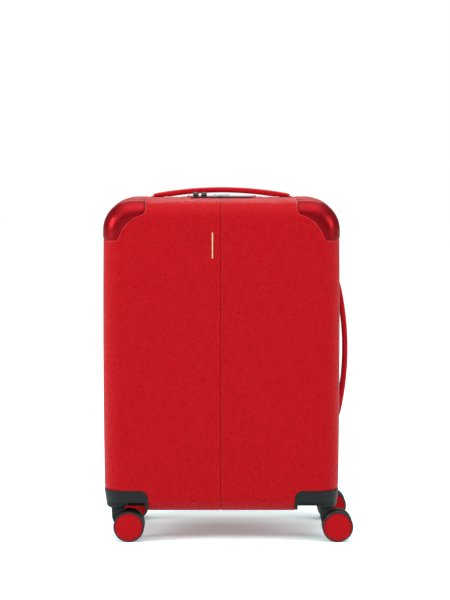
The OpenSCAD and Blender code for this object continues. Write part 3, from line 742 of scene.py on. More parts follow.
def cap_edge_loop(grow, lift):
    """The whole edge of a cap on the case's surface, at the right rear corner."""
    points, normals = [], []
    inner = np.array(cap_inner_edge(grow))
    z_end, x_end, y_end = cap_end_z - grow, cap_end_x - grow, cap_rear_y - grow
    side = lambda z: ((straight_x, z - mid_z), (1, 0))
    top = lambda x: ((x, straight_z), (0, 1))
    edge_x, edge_z = bulge(half_w - draft, z_end - mid_z), face_top_z

    def add_face(path):
        p, n = on_face(path[:, 0], path[:, 1], lift)
        points.extend(p)
        normals.extend(n)

    def add_rim(where, y):
        p, n = on_rim(where, y, lift)
        points.append(p)
        normals.append(n)

    ease = 1 - np.cos(np.linspace(0, math.pi / 2, 12))
    add_face(np.array([(edge_x - (edge_x - inner[0][0]) * t, z_end) for t in ease[1:-1]]))
    add_face(inner)
    add_face(np.array([(x_end, inner[-1][1] + (edge_z - inner[-1][1]) * t)
                       for t in np.sin(np.linspace(0, math.pi / 2, 12))[1:-1]]))
    for y in np.linspace(fillet_y, y_end, 9):
        add_rim(top(x_end), y)
    for x in np.linspace(x_end, straight_x, 8)[1:]:
        add_rim(top(x), y_end)
    for a in np.radians(np.linspace(90, 0, 21))[1:-1]:
        add_rim(((straight_x, straight_z), (math.cos(a), math.sin(a))), y_end)
    for z in np.linspace(straight_z + mid_z, z_end, 8):
        add_rim(side(z), y_end)
    for y in np.linspace(y_end, fillet_y, 9)[1:]:
        add_rim(side(z_end), y)
    return np.array(points), np.array(normals)


def cap_distance(x, y, z):
    """Distance from a point of the cap to its edge."""
    low, high, r = cap_turns(0)
    d = np.minimum(z - cap_end_z, x - cap_end_x)
    d = np.minimum(d, np.hypot(x - cap_arc[0], z - cap_arc[1]) - cap_arc_r)
    for centre, test in ((low, (z < low[1]) & (x < low[0])), (high, (x < high[0]) & (z < high[1]))):
        away = r - np.hypot(x - centre[0], z - centre[1])
        towards = np.array(centre) - np.array(cap_arc)
        turned = (x - centre[0]) * towards[1] - (z - centre[1]) * towards[0]
        beyond = turned > 0 if centre is low else turned < 0
        d = np.where(test & beyond, np.minimum(d, away), d)
    return np.minimum(d, y - cap_rear_y)


def cap_reach(where):
    """Inset at which a line from the side wall towards the face leaves the cap."""
    centre, direction = where
    low, high = draft, corner_r - 0.01 * MM
    for _ in range(40):
        middle = (low + high) / 2
        spot = np.array(centre) + (corner_r - middle) * np.array(direction)
        x, z = bulge(spot[0], spot[1]), spot[1] + mid_z
        if cap_distance(x, half_d, z) > 0:
            low = middle
        else:
            high = middle
    return low


def cap_lines():
    """Lines across a cap, from arm end to arm end: centre and direction on the outline."""
    lines = []
    for z in np.concatenate([[0, 0.05, 0.15, 0.3, 0.5, 0.8, 1.2, 1.8], np.linspace(2.6, 14.5, 9)]) * MM:
        lines.append(((straight_x, cap_end_z + z - mid_z), (1, 0)))
    for a in np.radians(np.linspace(0, 90, 37)):
        lines.append(((straight_x, straight_z), (math.cos(a), math.sin(a))))
    for x in np.concatenate([np.linspace(17, 2.6, 9), [1.8, 1.2, 0.8, 0.5, 0.3, 0.15, 0.05, 0]]) * MM:
        lines.append(((cap_end_x + x, straight_z), (0, 1)))
    return lines


def cap_piece(name, left, front):
    """A corner cap: a pillowed skin with a rolled edge, closed underneath."""
    proud, drop, roll, crown, under = 0.5 * MM, 1.55 * MM, 3.6 * MM, 0.35 * MM, 1.2 * MM
    top, bottom = [], []
    lines = cap_lines()
    for where in lines:
        reach = cap_reach(where)
        wall = fillet_y - cap_rear_y
        turn = math.acos(max(0.0, min(1.0, (draft + fillet_r - reach) / fillet_r)))
        flat = max(0.0, reach - draft - fillet_r)
        total = wall + fillet_r * turn + flat
        near = np.array([0, 0.08, 0.25, 0.5, 0.85, 1.3, 2.0]) * MM
        along = np.concatenate([near, np.linspace(3.2 * MM, total - 3.2 * MM, 30), (total - near)[::-1]])
        for s in along:
            if s < wall:
                inset, y, tilt = draft * (cap_rear_y + s) / fillet_y, cap_rear_y + s, 0.0
            elif s < wall + fillet_r * turn:
                tilt = (s - wall) / fillet_r
                inset, y = draft + fillet_r * (1 - math.cos(tilt)), fillet_y + fillet_r * math.sin(tilt)
            else:
                inset, y, tilt = draft + fillet_r + s - wall - fillet_r * turn, half_d, math.pi / 2
            centre, direction = np.array(where[0]), np.array(where[1])
            spot = centre + (corner_r - inset) * direction
            x, z = bulge(spot[0], spot[1]), spot[1] + mid_z
            edge = float(np.clip(cap_distance(x, y, z), 0, None))
            lift = proud - drop * (1 - math.sqrt(1 - max(0.0, 1 - edge / roll) ** 2))
            lift += crown * math.sin(math.pi * s / total) * min(1.0, edge / (6 * MM))
            lean = math.cos(tilt)
            normal = np.array([direction[0] * lean, math.sin(tilt), direction[1] * lean])
            base = np.array([x, y, z])
            top.append(base + lift * normal)
            bottom.append(base - under * normal)
    rows, size = len(lines), len(along)
    shift = len(top)
    faces = []
    for k in range(rows - 1):
        for i in range(size - 1):
            a = k * size + i
            faces.append((a, a + 1, a + size + 1, a + size))
            faces.append(tuple(shift + v for v in (a + size, a + size + 1, a + 1, a)))
    ring = [i for i in range(size)] + [k * size + size - 1 for k in range(1, rows)]
    ring += [(rows - 1) * size + i for i in range(size - 2, -1, -1)]
    ring += [k * size for k in range(rows - 2, 0, -1)]
    for a, b in zip(ring, ring[1:] + ring[:1]):
        faces.append((a, b, shift + b, shift + a))
    return solid(name, mirrored(top + bottom, left, front), faces)


# ---------------------------------------------------------------- wheel housings

housing_w, housing_top, ceiling_z = 69 * MM, 82 * MM, 63 * MM
housing_t, wall_t, housing_low = 3 * MM, 4.5 * MM, 47 * MM
housing_x = face_half_w - side_crown + 0.8 * MM
housing_y = half_d + 0.4 * MM
housing_taper, plan_r, housing_blend = 0.13, 27 * MM, 12.5 * MM
collar_r, collar_low, boss_top, stem_r = 16.5 * MM, 57 * MM, 69.5 * MM, 5 * MM
swivel_x, swivel_y = 163 * MM, 90 * MM
rise, rise_run = 6 * MM, 30 * MM


def housing_ring(inset, grow, z):
    """Plan of a housing: a square with its outer corner rounded."""
    hx, hy = housing_x - inset + grow, housing_y - inset + grow
    x0, y0 = housing_x - housing_w - grow, housing_y - housing_w - grow
    r = plan_r + grow
    path = [(x0, y0), (hx, y0)] + arc((hx - r, hy - r), r, 0, 90, 24) + [(x0, hy)]
    return [(x, y, z) for x, y in path]


def housing_profile(outer, grow):
    inner, top = outer - housing_w - grow, housing_top + grow
    return [(inner, 0), (inner + 0.2, 0), (inner + 0.2, top)] + arc(
        (inner + housing_blend, top - housing_blend), housing_blend, 90, 180, 16)


def wall_rise(outer):
    """Space under the sloping outer end of an inner wall."""
    high = housing_low + rise
    return [(outer - rise_run, 0), (outer + MM, 0), (outer + MM, high), (outer, high),
            (outer - rise_run, housing_low)]


def corner_block(name, grow=0.0, reach=0.0):
    """The corner that a wheel housing fills, at the right rear."""
    bottom = floor_gap - 3 * MM
    rings = [housing_ring(housing_taper * (housing_top - bottom), grow + reach, bottom),
             housing_ring(0, grow + reach, housing_top + grow)]
    made = loft(name, rings)
    combine(made, prism("cut_x", housing_profile(housing_x, grow), 1, 0, 0.3), "INTERSECT")
    combine(made, prism("cut_y", housing_profile(housing_y, grow), 0, 0, 0.3), "INTERSECT")
    return made


def housing_piece(name, left, front):
    """A wheel housing: corner skin, ceiling, inner walls, and a collar round the swivel."""
    x0, y0, floor_z, far = housing_x - housing_w, housing_y - housing_w, ceiling_z + 3.5 * MM, 0.3
    wall = housing_taper * (housing_top - floor_z) + housing_t
    room = [(x - (x < x0 + MM) * 9 * MM, y - (y < y0 + MM) * 9 * MM)
            for x, y, _ in housing_ring(wall, 0, 0)]
    made = corner_block(name)
    without(
        made,
        prism("room", room, 2, floor_z, 90 * MM),
        block("wheels", (x0 + wall_t, y0 + wall_t, 0), (far, far, collar_low)),
        block("well", (x0 + wall_t, y0 + wall_t, 0), (housing_x - housing_t - 4 * MM, far, ceiling_z)),
        block("under", (0, 0, 0), (far, far, housing_low)),
        prism("rise", wall_rise(housing_y), 0, 0, far),
        prism("rise", wall_rise(housing_x), 1, 0, far),
    )
    here = (swivel_x, swivel_y, 0)
    for radius, top in ((collar_r, floor_z), (9 * MM, boss_top)):
        ring = [(1e-6, collar_low), (radius, collar_low), (radius, top), (1e-6, top)]
        combine(made, lathe("collar", ring, here, 2, 64), "UNION")
    stem = [(1e-6, 0), (stem_r + 0.05 * MM, 0), (stem_r + 0.05 * MM, 0.1), (1e-6, 0.1)]
    without(made, lathe("stem", stem, here, 2, 64))
    rounded(made, 0.9 * MM, 3)
    return mirror_piece(made, left, front)


CORNERS = [(front, left) for front in (True, False) for left in (True, False)]


def half_name(front):
    return "front" if front else "rear"


def side_name(left):
    return "left" if left else "right"


def make_caps_and_housings():
    for front, left in CORNERS:
        half, side = half_name(front), side_name(left)
        cap = cap_piece(f"{half}_corner_cap_{side}", left, front)
        dress(cap, cap_gloss, f"case_{half}", [f"{half}_cap_{side}"], 50)
        points, normals = cap_edge_loop(1.85 * MM, -0.3 * MM)
        bead = sweep(f"{half}_cap_piping_{side}", mirrored(points, left, front),
                     mirrored(normals, left, front), round_section(0.7 * MM))
        dress(bead, edge_leather_highlight, f"case_{half}", angle=60)
        housing = housing_piece(f"{half}_wheel_housing_{side}", left, front)
        dress(housing, housing_black, f"case_{half}", [f"{half}_housing_{side}"], 40)


# ---------------------------------------------------------------- skins

bezel_half, bezel_front, bezel_low = 66 * MM, 66 * MM, 509 * MM
handle_y, handle_at, side_handle_z = 28 * MM, 104 * MM, 288.6 * MM
neck_x, neck_y = 14 * MM, 18 * MM
lock_l, lock_back, lock_w, lock_low = 98 * MM, -8 * MM, 26 * MM, 518 * MM
slack = 0.2 * MM


def corner_cutters(front, grow):
    return [mirror_piece(corner_block("corner", grow, MM), left, front) for left in (True, False)]


def cap_cutters(front, grow):
    return [mirror_piece(cap_cutter("cap", grow), left, front) for left in (True, False)]


def bezel_cutter(grow):
    return block("bezel", (-bezel_half - grow, bezel_front - grow, bezel_low - grow),
                 (bezel_half + grow, half_d + 50 * MM, top_z + 50 * MM))


def lock_cutter(grow):
    reach = lock_l / 2 - 4 * MM + grow
    return block("lock", (-reach, lock_back - lock_w + 3 * MM - grow, lock_low - 3 * grow),
                 (reach, lock_back - 3 * MM + grow, top_z + 50 * MM))


def neck_cutters(grow, depth=8 * MM):
    """Cutters for the holes that the handles' tongues pass through."""
    made = []
    near_y, far_y = handle_y - neck_y / 2 - grow, handle_y + neck_y / 2 + grow
    for s in (-1, 1):
        x, z = s * handle_at, side_handle_z + s * handle_at
        made.append(block("neck", (x - neck_x / 2 - grow, near_y, top_z - depth),
                          (x + neck_x / 2 + grow, far_y, top_z + depth)))
        made.append(block("neck", (case_w / 2 - depth, near_y, z - neck_x / 2 - grow),
                          (case_w / 2 + depth, far_y, z + neck_x / 2 + grow)))
    return made


def make_leathers():
    rear = half_shell("rear_leather_skin", leather_outer, leather_inner)
    without(rear, *corner_cutters(False, slack), *cap_cutters(False, cap_gap), bezel_cutter(slack),
            *neck_cutters(slack))
    dress(rear, red_leather, "case_rear", ["rear_leather"], 40)
    front = half_shell("front_leather_skin", leather_outer, leather_inner, front=True)
    without(front, *corner_cutters(True, slack), *cap_cutters(True, cap_gap), lock_cutter(slack))
    dress(front, red_leather, "case_front", ["front_leather"], 40)


def seam_line(x, front, low=50 * MM, high=530 * MM):
    """Points and normals down a half's face at one x, round both fillets."""
    z = np.concatenate([np.linspace(low, 90 * MM, 60), np.linspace(95 * MM, 485 * MM, 60),
                        np.linspace(490 * MM, high, 60)])
    points, normals = on_face(np.full(len(z), x), z)
    return mirrored(points, front=front), mirrored(normals, front=front)


def make_seam_details():
    for front in (True, False):
        half = half_name(front)
        points, normals = seam_line(stitch_x, front)
        row = stitches(f"{half}_seam_stitches", points - 0.1 * MM * normals, normals, 3.9 * MM, 2.7 * MM,
                       0.75 * MM)
        dress(row, red_thread, f"case_{half}", angle=60)
    bar_x, bar_low, bar_high = -13.8 * MM, 444 * MM, 484 * MM
    z = np.linspace(bar_low, bar_high, 24)
    points, normals = on_face(np.full(len(z), bar_x), z, 0.02 * MM)
    half = 0.9 * MM
    section = [(-half, 0), (half, 0), (half, 0.05 * MM), (half - 0.05 * MM, 0.1 * MM),
               (-half + 0.05 * MM, 0.1 * MM), (-half, 0.05 * MM)]
    bar = sweep("foil_bar", mirrored(points, front=True), mirrored(normals, front=True), section,
                loop=False)
    dress(bar, foil, "case_front", angle=50)


# ---------------------------------------------------------------- zip

def perimeter(inset, step):
    """Evenly spaced points, directions and tangents round the case at the zip."""
    ring = outline_centre + (corner_r - inset) * outline_direction
    loop = np.vstack([ring, ring[:1]])
    turn = np.vstack([outline_direction, outline_direction[:1]])
    reach = np.concatenate([[0], np.cumsum(np.linalg.norm(np.diff(loop, axis=0), axis=1))])
    at = np.arange(0, reach[-1], step)
    spots = np.stack([np.interp(at, reach, loop[:, i]) for i in (0, 1)], 1)
    out = np.stack([np.interp(at, reach, turn[:, i]) for i in (0, 1)], 1)
    out /= np.linalg.norm(out, axis=1)[:, None]
    spots[:, 0] = bulge(spots[:, 0], spots[:, 1])
    return spots, out


def make_zip():
    """Woven tapes and the coil's teeth; the hinge side has no teeth."""
    pitch, tape_in = 2.6 * MM, 0.8 * MM
    spots, out = perimeter(tape_in, pitch)
    hinge_half = 195 * MM
    for front in (True, False):
        half, sign = half_name(front), -1 if front else 1
        path = np.stack([spots[:, 0], np.full(len(spots), 0), spots[:, 1] + mid_z], 1)
        normals = np.stack([out[:, 0], np.zeros(len(out)), out[:, 1]], 1)
        y0, y1 = 0.3 * MM, 5.95 * MM
        section = [(y0, -1.5 * MM), (y0, -0.15 * MM), (y0 + 0.2 * MM, 0), (2.6 * MM, -0.05 * MM),
                   (3.6 * MM, -0.25 * MM), (y1 - 0.8 * MM, -0.1 * MM), (y1, -0.1 * MM), (y1, -1.5 * MM)]
        ring = [np.array([p + n * u + np.array([0, sign * v, 0]) for v, u in section])
                for p, n in zip(path, normals)]
        tape = loft(f"{half}_zip_cloth", ring, loop=True)
        dress(tape, tape_fabric, f"case_{half}", [f"{half}_zip_tape"], 50)
        points, faces = [], []
        for k in range(0 if front else 1, len(spots) - 1, 2):
            if spots[k, 0] < 0 and abs(spots[k, 1]) < hinge_half:
                continue
            n, centre = normals[k], path[k]
            along = np.array([-n[2], 0, n[0]])
            start = len(points)
            for y, wide, high in ((-0.9, 0.8, 0.15), (-0.5, 1.1, 0.5), (0.6, 0.75, 0.6), (2.2, 0.6, 0.35),
                                  (2.5, 0.4, 0.05)):
                for a, u in ((-wide, -0.3), (wide, -0.3), (wide * 0.8, high), (-wide * 0.8, high)):
                    points.append(centre + along * a * MM + n * u * MM + np.array([0, sign * y * MM, 0]))
            for h in range(4):
                a = start + 4 * h
                faces += [(a + i, a + (i + 1) % 4, a + 4 + (i + 1) % 4, a + 4 + i) for i in range(4)]
            faces += [(start, start + 1, start + 2, start + 3), tuple(start + 16 + i for i in range(4))]
        teeth = solid(f"{half}_zip_teeth", points, faces)
        dress(teeth, tooth_plastic, f"case_{half}", angle=30)


# ---------------------------------------------------------------- handles

strap_w, strap_t, strap_gap = 24 * MM, 8 * MM, 7.4 * MM


def strap_heights(x, lift):
    """Underside and top of the strap over the leather at x."""
    span = 113 * MM
    top = strap_gap + strap_t + lift - (11.05 * MM + lift) * (x / span) ** 2
    low = strap_gap + lift - (12.13 * MM + lift) * (x / span) ** 2
    return max(0.9 * MM, low), top


def strap_ring(x, half, low, high):
    """Section of a padded strap: crowned top, flat underside, round edges."""
    r = min(2.6 * MM, (high - low) * 0.46)
    ring = []
    for cy, cz, start in ((half - r, high - r, 0), (-half + r, high - r, 90), (-half + r, low + r, 180),
                          (half - r, low + r, 270)):
        ring += arc((cy, cz), r, start, start + 90, 4)
        if start == 0:
            ring += [(half * t, high + 0.5 * MM * (1 - (t / 0.78) ** 2))
                     for t in (0.7, 0.35, 0, -0.35, -0.7)]
    return [(x, y, z) for y, z in ring]


def handle_strap(name, lift):
    """The leather strap, in its own frame: X along, Z up from the leather, middle at the origin."""
    end, rings = 109.5 * MM, []
    for t in np.sin(np.linspace(-math.pi / 2, math.pi / 2, 91)):
        x = end * t
        past = max(0.0, abs(x) - (end - 9 * MM)) / (9 * MM)
        half = strap_w / 2 * (0.35 + 0.65 * math.sqrt(max(0.0, 1 - past ** 2.4)))
        low, high = strap_heights(x, lift)
        rings.append(strap_ring(x, half, low, high - 0.7 * MM * past ** 2))
    return loft(name, rings)


def handle_clip(name, s):
    """The thin stepped clip under an end of the strap."""
    outline = [(s * x, y) for x, y in
               [(92 * MM, -9 * MM), (106 * MM, -9 * MM)] + arc((106 * MM, 0), 9 * MM, -90, 90, 20)[1:-1]
               + [(106 * MM, 9 * MM), (92 * MM, 9 * MM)]]
    outline = [(s * min(abs(x), 113 * MM), y) for x, y in outline]
    made = prism(name, outline, 2, 0.25 * MM, 1.7 * MM)
    return rounded(made, 0.4 * MM, 2)


def handle_stitches(name, lift, side):
    xs = np.linspace(-98 * MM, 98 * MM, 160)
    y = side * (strap_w / 2 - 3.2 * MM)
    path = [(x, y, strap_heights(x, lift)[1] + 0.12 * MM) for x in xs]
    return stitches(name, path, np.tile([0, 0, 1.0], (len(xs), 1)), 4.2 * MM, 3.1 * MM, 0.6 * MM)


def handle_tongue(name, s):
    """Steel tongue from the strap's end into its bracket."""
    x, half_y = s * handle_at, 7 * MM
    made = block(name, (x - 1.2 * MM, -half_y, -27.5 * MM), (x + 1.2 * MM, half_y, 1.5 * MM))
    foot = block("foot", (x - 4 * MM, -half_y, -29.5 * MM), (x + 4 * MM, half_y, -27 * MM))
    return rounded(combine(made, foot, "UNION"), 0.3 * MM, 2)


def make_handles():
    top_wall = top_z - draft * handle_y / fillet_y
    side_wall = case_w / 2 - draft * handle_y / fillet_y - 0.4 * MM
    places = {
        "top_handle": (Matrix.Translation((0, handle_y, top_wall)), 0.0),
        "side_handle": (Matrix.Translation((side_wall, handle_y, side_handle_z))
                        @ Matrix.Rotation(math.radians(90), 4, "Y"), 2.5 * MM),
    }
    for name, (where, lift) in places.items():
        strap = handle_strap(f"{name}_strap", lift)
        parts = [(strap, strap_leather, "handle_leather", [name])]
        for s, end in ((-1, "low"), (1, "high")):
            parts.append((handle_clip(f"{name}_clip_{end}", s), grip_red, "handle_leather", []))
            parts.append((handle_tongue(f"{name}_tongue_{end}", s), steel, "button_steel", []))
            row = handle_stitches(f"{name}_stitches_{end}", lift, s)
            parts.append((row, red_thread, "handle_leather", []))
        for piece, material, slot, replaced in parts:
            piece.data.transform(where)
            dress(piece, material, name, replaced, 50)


# ---------------------------------------------------------------- trolley

grip_half, grip_front, grip_back, grip_low = 56.8 * MM, 83.5 * MM, 104.5 * MM, 514 * MM
tube_x, tube_y, inner_r, guide_in = 46 * MM, 94 * MM, 6.9 * MM, 8.6 * MM
button_y, button_half, button_w = 89 * MM, 14 * MM, 10 * MM
fillet_z = face_top_z - fillet_r


def upright_hole(x, radius, low, high):
    ring = [(1e-6, low), (radius, low), (radius, high), (1e-6, high)]
    return lathe("hole", ring, (x, tube_y, 0), 2, 48)


def make_trolley():
    bezel = combine(half_solid("trolley_bezel_frame", 0.5 * MM), bezel_cutter(0), "INTERSECT")
    cavity = grip_half + 2 * MM
    without(bezel, block("cavity", (-cavity, bezel_front + 4 * MM, bezel_low + 4 * MM),
                         (cavity, grip_back + MM, top_z + 50 * MM)))
    without(bezel, *[upright_hole(s * tube_x, guide_in, bezel_low - MM, bezel_low + 9 * MM)
                     for s in (-1, 1)])
    rounded(bezel, 0.6 * MM, 2)
    dress(bezel, housing_black, "case_rear", ["trolley_bezel"], 40)

    r = fillet_r + 2.2 * MM
    outline = [(grip_front, grip_low), (grip_front, fillet_z + r - 1.5 * MM),
               (grip_front + 1.5 * MM, fillet_z + r)]
    last = math.asin((grip_back - MM - fillet_y) / r)
    outline += [(fillet_y + r * math.sin(a), fillet_z + r * math.cos(a)) for a in np.linspace(0, last, 15)]
    outline += [(grip_back, fillet_z + r * 0.82 - 1.2 * MM), (grip_back, grip_low)]
    grip = prism("trolley_hand_grip", outline, 0, -grip_half, grip_half)
    gap = 0.3 * MM
    pocket_low = (-button_half - gap, button_y - button_w / 2 - gap, fillet_z + fillet_r - 7 * MM)
    pocket_high = (button_half + gap, button_y + button_w / 2 + gap, top_z + 50 * MM)
    without(grip, block("pocket", pocket_low, pocket_high))
    without(grip, *[upright_hole(s * tube_x, inner_r + 0.02 * MM, grip_low - MM, grip_low + 10.2 * MM)
                    for s in (-1, 1)])
    rounded(grip, 1.3 * MM, 4)
    dress(grip, grip_red, "trolley_stage_2", ["trolley_grip"], 40)
    soften("trolley_button", brushed_button, 0.5 * MM, 3)
    soften("trolley_foot", housing_black, 0.8 * MM)
    for name in ("trolley_guide_tubes", "trolley_middle_tubes", "trolley_inner_tubes"):
        soften(name, tube_metal, 0.2 * MM, 1)
    soften("handle_brackets", housing_black, 0.5 * MM)


# ---------------------------------------------------------------- lock and zip pulls

def dial_piece(k):
    """A knurled number dial."""
    low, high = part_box(f"dial_{k}")
    centre = (low + high) / 2
    radius, half = (high.z - low.z) / 2, (high.x - low.x) / 2
    teeth = 20
    ring = []
    for i in range(4 * teeth):
        a = math.pi / 2 * i / teeth
        depth = 0.35 * MM if i % 4 in (1, 2) else 0.0
        ring.append((centre.y + (radius - depth) * math.cos(a), centre.z + (radius - depth) * math.sin(a)))
    made = prism(f"dial_wheel_{k}", ring, 0, centre.x - half, centre.x + half)
    bore = [(1e-6, -0.01), (1.55 * MM, -0.01), (1.55 * MM, 0.01), (1e-6, 0.01)]
    return without(made, lathe("bore", bore, centre, 0, 32))


def screw_piece(name, x, y, z):
    """A countersunk cross-head screw."""
    r = 1.9 * MM
    ring = [(1e-6, -1.0 * MM), (0.8 * r, -1.0 * MM), (r, 0), (0.85 * r, 0.25 * MM), (1e-6, 0.35 * MM)]
    made = lathe(name, ring, (x, y, z), 2, 32)
    for wide, long in ((0.25, 1.2), (1.2, 0.25)):
        without(made, block("slot", (x - long * MM, y - wide * MM, z - 0.1 * MM),
                            (x + long * MM, y + wide * MM, z + MM)))
    return made


def make_lock():
    soften("lock_case", gunmetal, 0.35 * MM)
    soften("lock_button", steel, 0.6 * MM, 3)
    for k in (1, 2, 3):
        dress(dial_piece(k), dial_metal, f"dial_{k}", [f"dial_{k}"], 25)
    low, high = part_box("lock_case")
    for s, side in ((-1, "left"), (1, "right")):
        screw = screw_piece(f"lock_screw_{side}", s * 45.5 * MM, (low.y + high.y) / 2, high.z)
        dress(screw, steel, "case_front", angle=30)
    for side in ("left", "right"):
        soften(f"zip_slider_{side}", gunmetal, 0.5 * MM)
        soften(f"zip_pull_{side}", gunmetal, 0.45 * MM)


# ---------------------------------------------------------------- casters

tread_r, seat_r = 24, 19.52              # radii in millimetres, for the profiles below
tread_in, tread_out = 6, 19              # distances from the fork's middle, in millimetres
shoulder_r = 1.3
wheel_r, trail = tread_r * MM, 18.4 * MM


def wheel_profile(side):
    """Rim and hub, as (radius, distance from the fork's middle)."""
    shape = [(3.05, 6), (7, 6), (7.3, 6.3), (7.3, 7.2), (8, 7.6), (16, 7.6), (17.2, 7),
             (18.2, 6.6), (19.5, 6.6), (19.5, 19), (21, 19), (21.4, 19.15), (21.4, 19.45),
             (21.1, 19.85), (20.5, 19.95), (20.2, 19.7), (19.9, 19.35), (0.001, 19.35), (0.001, 17.2),
             (3.05, 17.2)]
    return [(r * MM, side * y * MM) for r, y in shape]


def disc_profile(side):
    """Crowned leather disc that sits inside the rim's lip."""
    top = [(r, 20.4 - 0.35 * (r / 19.4) ** 4) for r in np.linspace(0.001, 18.6, 16)]
    shape = top + [(19.2, 19.9), (19.5, 19.6), (19.4, 19.2), (0.001, 19.2)]
    return [(r * MM, side * y * MM) for r, y in shape]


def tyre_profile(side):
    """Rubber tread with rounded shoulders and two fine grooves."""
    edge, floor_r = tread_r - shoulder_r, 23.6
    inner, outer = tread_in + shoulder_r, tread_out - shoulder_r
    turns = np.radians(np.linspace(0, 90, 7))
    shape = [(seat_r, 6.4)]
    shape += [(edge + shoulder_r * math.sin(a), inner - shoulder_r * math.cos(a)) for a in turns]
    for groove in (10.4, 14.6):
        shape += [(tread_r, groove - 0.35), (floor_r, groove - 0.15)]
        shape += [(floor_r, groove + 0.15), (tread_r, groove + 0.35)]
    shape += [(edge + shoulder_r * math.cos(a), outer + shoulder_r * math.sin(a)) for a in turns]
    shape += [(seat_r, tread_out)]
    return [(r * MM, side * y * MM) for r, y in shape]


def make_casters():
    for front, left in CORNERS:
        name = f"{half_name(front)}_{side_name(left)}"
        x, y = (-1 if left else 1) * swivel_x + trail, (-1 if front else 1) * swivel_y
        centre = (x, y, wheel_r)
        soften(f"{name}_fork", fork_black, 0.7 * MM, 3)
        soften(f"{name}_axle", steel, 0.3 * MM)
        for letter, side in (("a", -1), ("b", 1)):
            body = f"{name}_wheel_{letter}"
            rim = lathe(f"{body}_rim", wheel_profile(side), centre, 1)
            dress(rim, rim_gloss, body, [body], 40)
            disc = lathe(f"{body}_disc", disc_profile(side), centre, 1)
            dress(disc, disc_leather, body, angle=50)
            tyre = lathe(f"{body}_tread", tyre_profile(side), centre, 1)
            dress(tyre, tyre_rubber, body, [f"{name}_tyre_{letter}"], 30)
            turns = np.linspace(0, 2 * math.pi, 181)
            ring_r, ring_y = 17.4 * MM, y + side * 20.28 * MM
            path = [(x + ring_r * math.cos(a), ring_y, wheel_r + ring_r * math.sin(a)) for a in turns]
            ring = stitches(f"{body}_stitches", path, np.tile([0, side, 0.0], (len(turns), 1)), 3.03 * MM,
                            1.9 * MM, 1.0 * MM)
            dress(ring, disc_thread, body, angle=60)


# ---------------------------------------------------------------- inside

lining_out, lining_in, lining_back = 3.85 * MM, 4.85 * MM, 84 * MM


def make_linings():
    """Fabric linings with soft vertical pleats on their floors."""
    def pleats(x, y, z):
        soft = np.clip((y - 40 * MM) / (20 * MM), 0, 1)
        return -lining_in - soft * 0.5 * MM * (1 + np.cos(x / (9 * MM)))

    def backing(x, y, z):
        return np.full(len(x), -lining_out)

    plain_rim = (0, 0.3 * MM, MM)
    room = (housing_x - housing_w - 2 * MM, housing_y - housing_w - 2 * MM, 0)
    for front in (True, False):
        half = half_name(front)
        piece = half_shell(f"{half}_lining_cloth", backing, pleats, front, rim_steps=plain_rim,
                           depth=half_d if front else lining_back)
        high = (case_w, case_w, housing_top + 3 * MM)
        without(piece, *[mirror_piece(block("room", room, high), left, front) for left in (True, False)])
        if front:
            without(piece, lock_cutter(2 * MM))
        else:
            without(piece, bezel_cutter(2 * MM), *neck_cutters(7 * MM, 30 * MM))
        dress(piece, lining_fabric, f"case_{half}", [f"{half}_lining"], 50)


def make_hinge_cloth():
    """The soft hinge: a cloth strip inside the left wall, from one lining to the other."""
    x, half_z, reach = -case_w / 2 + lining_in + 0.15 * MM, 185 * MM, 22 * MM
    ys, zs = np.linspace(reach, -reach, 45), np.linspace(-half_z, half_z, 41)
    points, faces = [], []
    for layer in (0.0, 0.6 * MM):
        for y in ys:
            for z in zs:
                bow = side_crown * (z / half_h) ** 2
                points.append((x + bow + layer, y, mid_z + z))
    rows, size = len(ys), len(zs)
    shift = rows * size
    for k in range(rows - 1):
        for i in range(size - 1):
            a = k * size + i
            faces.append((a, a + 1, a + size + 1, a + size))
            faces.append(tuple(shift + v for v in (a + size, a + size + 1, a + 1, a)))
    ring = list(range(size)) + [k * size + size - 1 for k in range(1, rows)]
    ring += [(rows - 1) * size + i for i in range(size - 2, -1, -1)]
    ring += [k * size for k in range(rows - 2, 0, -1)]
    for a, b in zip(ring, ring[1:] + ring[:1]):
        faces.append((a, b, shift + b, shift + a))
    cloth = smooth(solid("hinge_cloth", points, faces))
    cloth.data.materials.append(tape_fabric)
    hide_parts("hinge_tape")
    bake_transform(cloth)


# ---------------------------------------------------------------- studio

def aim(thing, target):
    thing.rotation_euler = (Vector(target) - thing.location).to_track_quat("-Z", "Y").to_euler()


def make_camera():
    """A long lens at the photograph's height, tipped slightly down."""
    data = bpy.data.cameras.new("camera")
    camera = bpy.data.objects.new("camera", data)
    bpy.context.scene.collection.objects.link(camera)
    data.sensor_fit, data.sensor_width = "AUTO", 36
    data.lens = 117.07
    data.shift_y = -0.0363
    camera.location = (0.0055, -3.115, 0.62313)
    camera.rotation_euler = (math.radians(90 - 4), 0, 0)
    bpy.context.scene.camera = camera


def softbox(name, spot, target, wide, tall, power):
    data = bpy.data.lights.new(name, "AREA")
    data.shape, data.size, data.size_y, data.energy = "RECTANGLE", wide, tall, power
    made = bpy.data.objects.new(name, data)
    bpy.context.scene.collection.objects.link(made)
    made.location = spot
    aim(made, target)


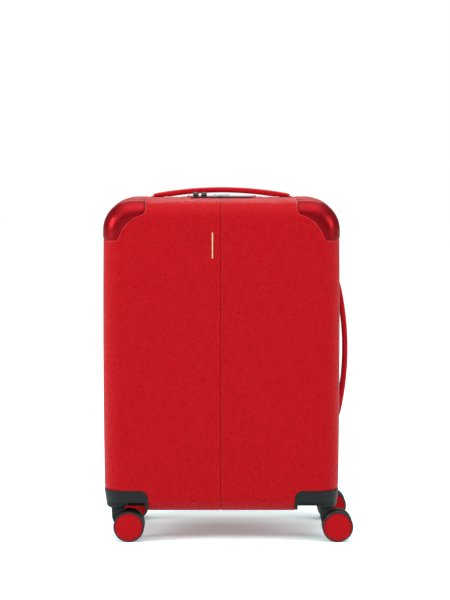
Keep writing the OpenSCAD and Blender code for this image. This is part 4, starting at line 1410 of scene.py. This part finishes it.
def make_lights():
    data = bpy.data.lights.new("overhead", "SUN")
    data.energy, data.angle = 2.5, math.radians(80)
    sun = bpy.data.objects.new("overhead", data)
    bpy.context.scene.collection.objects.link(sun)
    sun.location = (0, -0.5, 3)
    aim(sun, (0, 0, 0))
    softbox("top", (0, -0.3, 1.3), (0, 0, 0.4), 1.0, 0.6, 4)
    softbox("front_top", (0, -2.6, 2.3), (0, -0.1, 0.35), 2.2, 0.8, 2)
    softbox("left_key", (-1.7, -1.8, 1.9), (-0.1, -0.1, 0.45), 0.5, 0.5, 9)
    softbox("right_key", (1.9, -1.6, 1.7), (0.1, -0.1, 0.45), 0.4, 0.4, 6)
    softbox("back_top", (0, 2.6, 2.3), (0, 0, 0.3), 2.2, 0.8, 26)
    softbox("left_side", (-2.1, -0.9, 1.1), (0, 0, 0.4), 0.6, 0.8, 36)
    softbox("right_side", (2.1, -0.9, 1.1), (0, 0, 0.4), 0.6, 0.8, 22)
    world = bpy.data.worlds.new("studio")
    bpy.context.scene.world = world
    world.use_nodes = True
    tree = world.node_tree
    tree.nodes.clear()
    soft = node(tree, "Background", Color=(1, 1, 1, 1), Strength=0.22)
    seen = node(tree, "Background", Color=(1, 1, 1, 1), Strength=1.0)
    mix = tree.nodes.new("ShaderNodeMixShader")
    tree.links.new(node(tree, "LightPath").outputs["Is Camera Ray"], mix.inputs[0])
    tree.links.new(soft.outputs[0], mix.inputs[1])
    tree.links.new(seen.outputs[0], mix.inputs[2])
    tree.links.new(mix.outputs[0], tree.nodes.new("ShaderNodeOutputWorld").inputs["Surface"])


def make_floor():
    half = 12.0
    mesh = bpy.data.meshes.new("floor")
    corners = [(-half, -half, 0), (half, -half, 0), (half, half, 0), (-half, half, 0)]
    mesh.from_pydata(corners, [], [(0, 1, 2, 3)])
    floor = bpy.data.objects.new("floor", mesh)
    bpy.context.scene.collection.objects.link(floor)
    mesh.materials.append(pale_floor("pale_floor"))


make_camera()
make_lights()
make_floor()
for shell in ("rear_shell", "front_shell"):
    soften(shell, shell_plastic, 0.2 * MM, 1)
make_caps_and_housings()
make_leathers()
make_seam_details()
make_zip()
make_handles()
make_trolley()
make_lock()
make_casters()
make_linings()
make_hinge_cloth()
bpy.context.scene.view_settings.view_transform = "Standard"
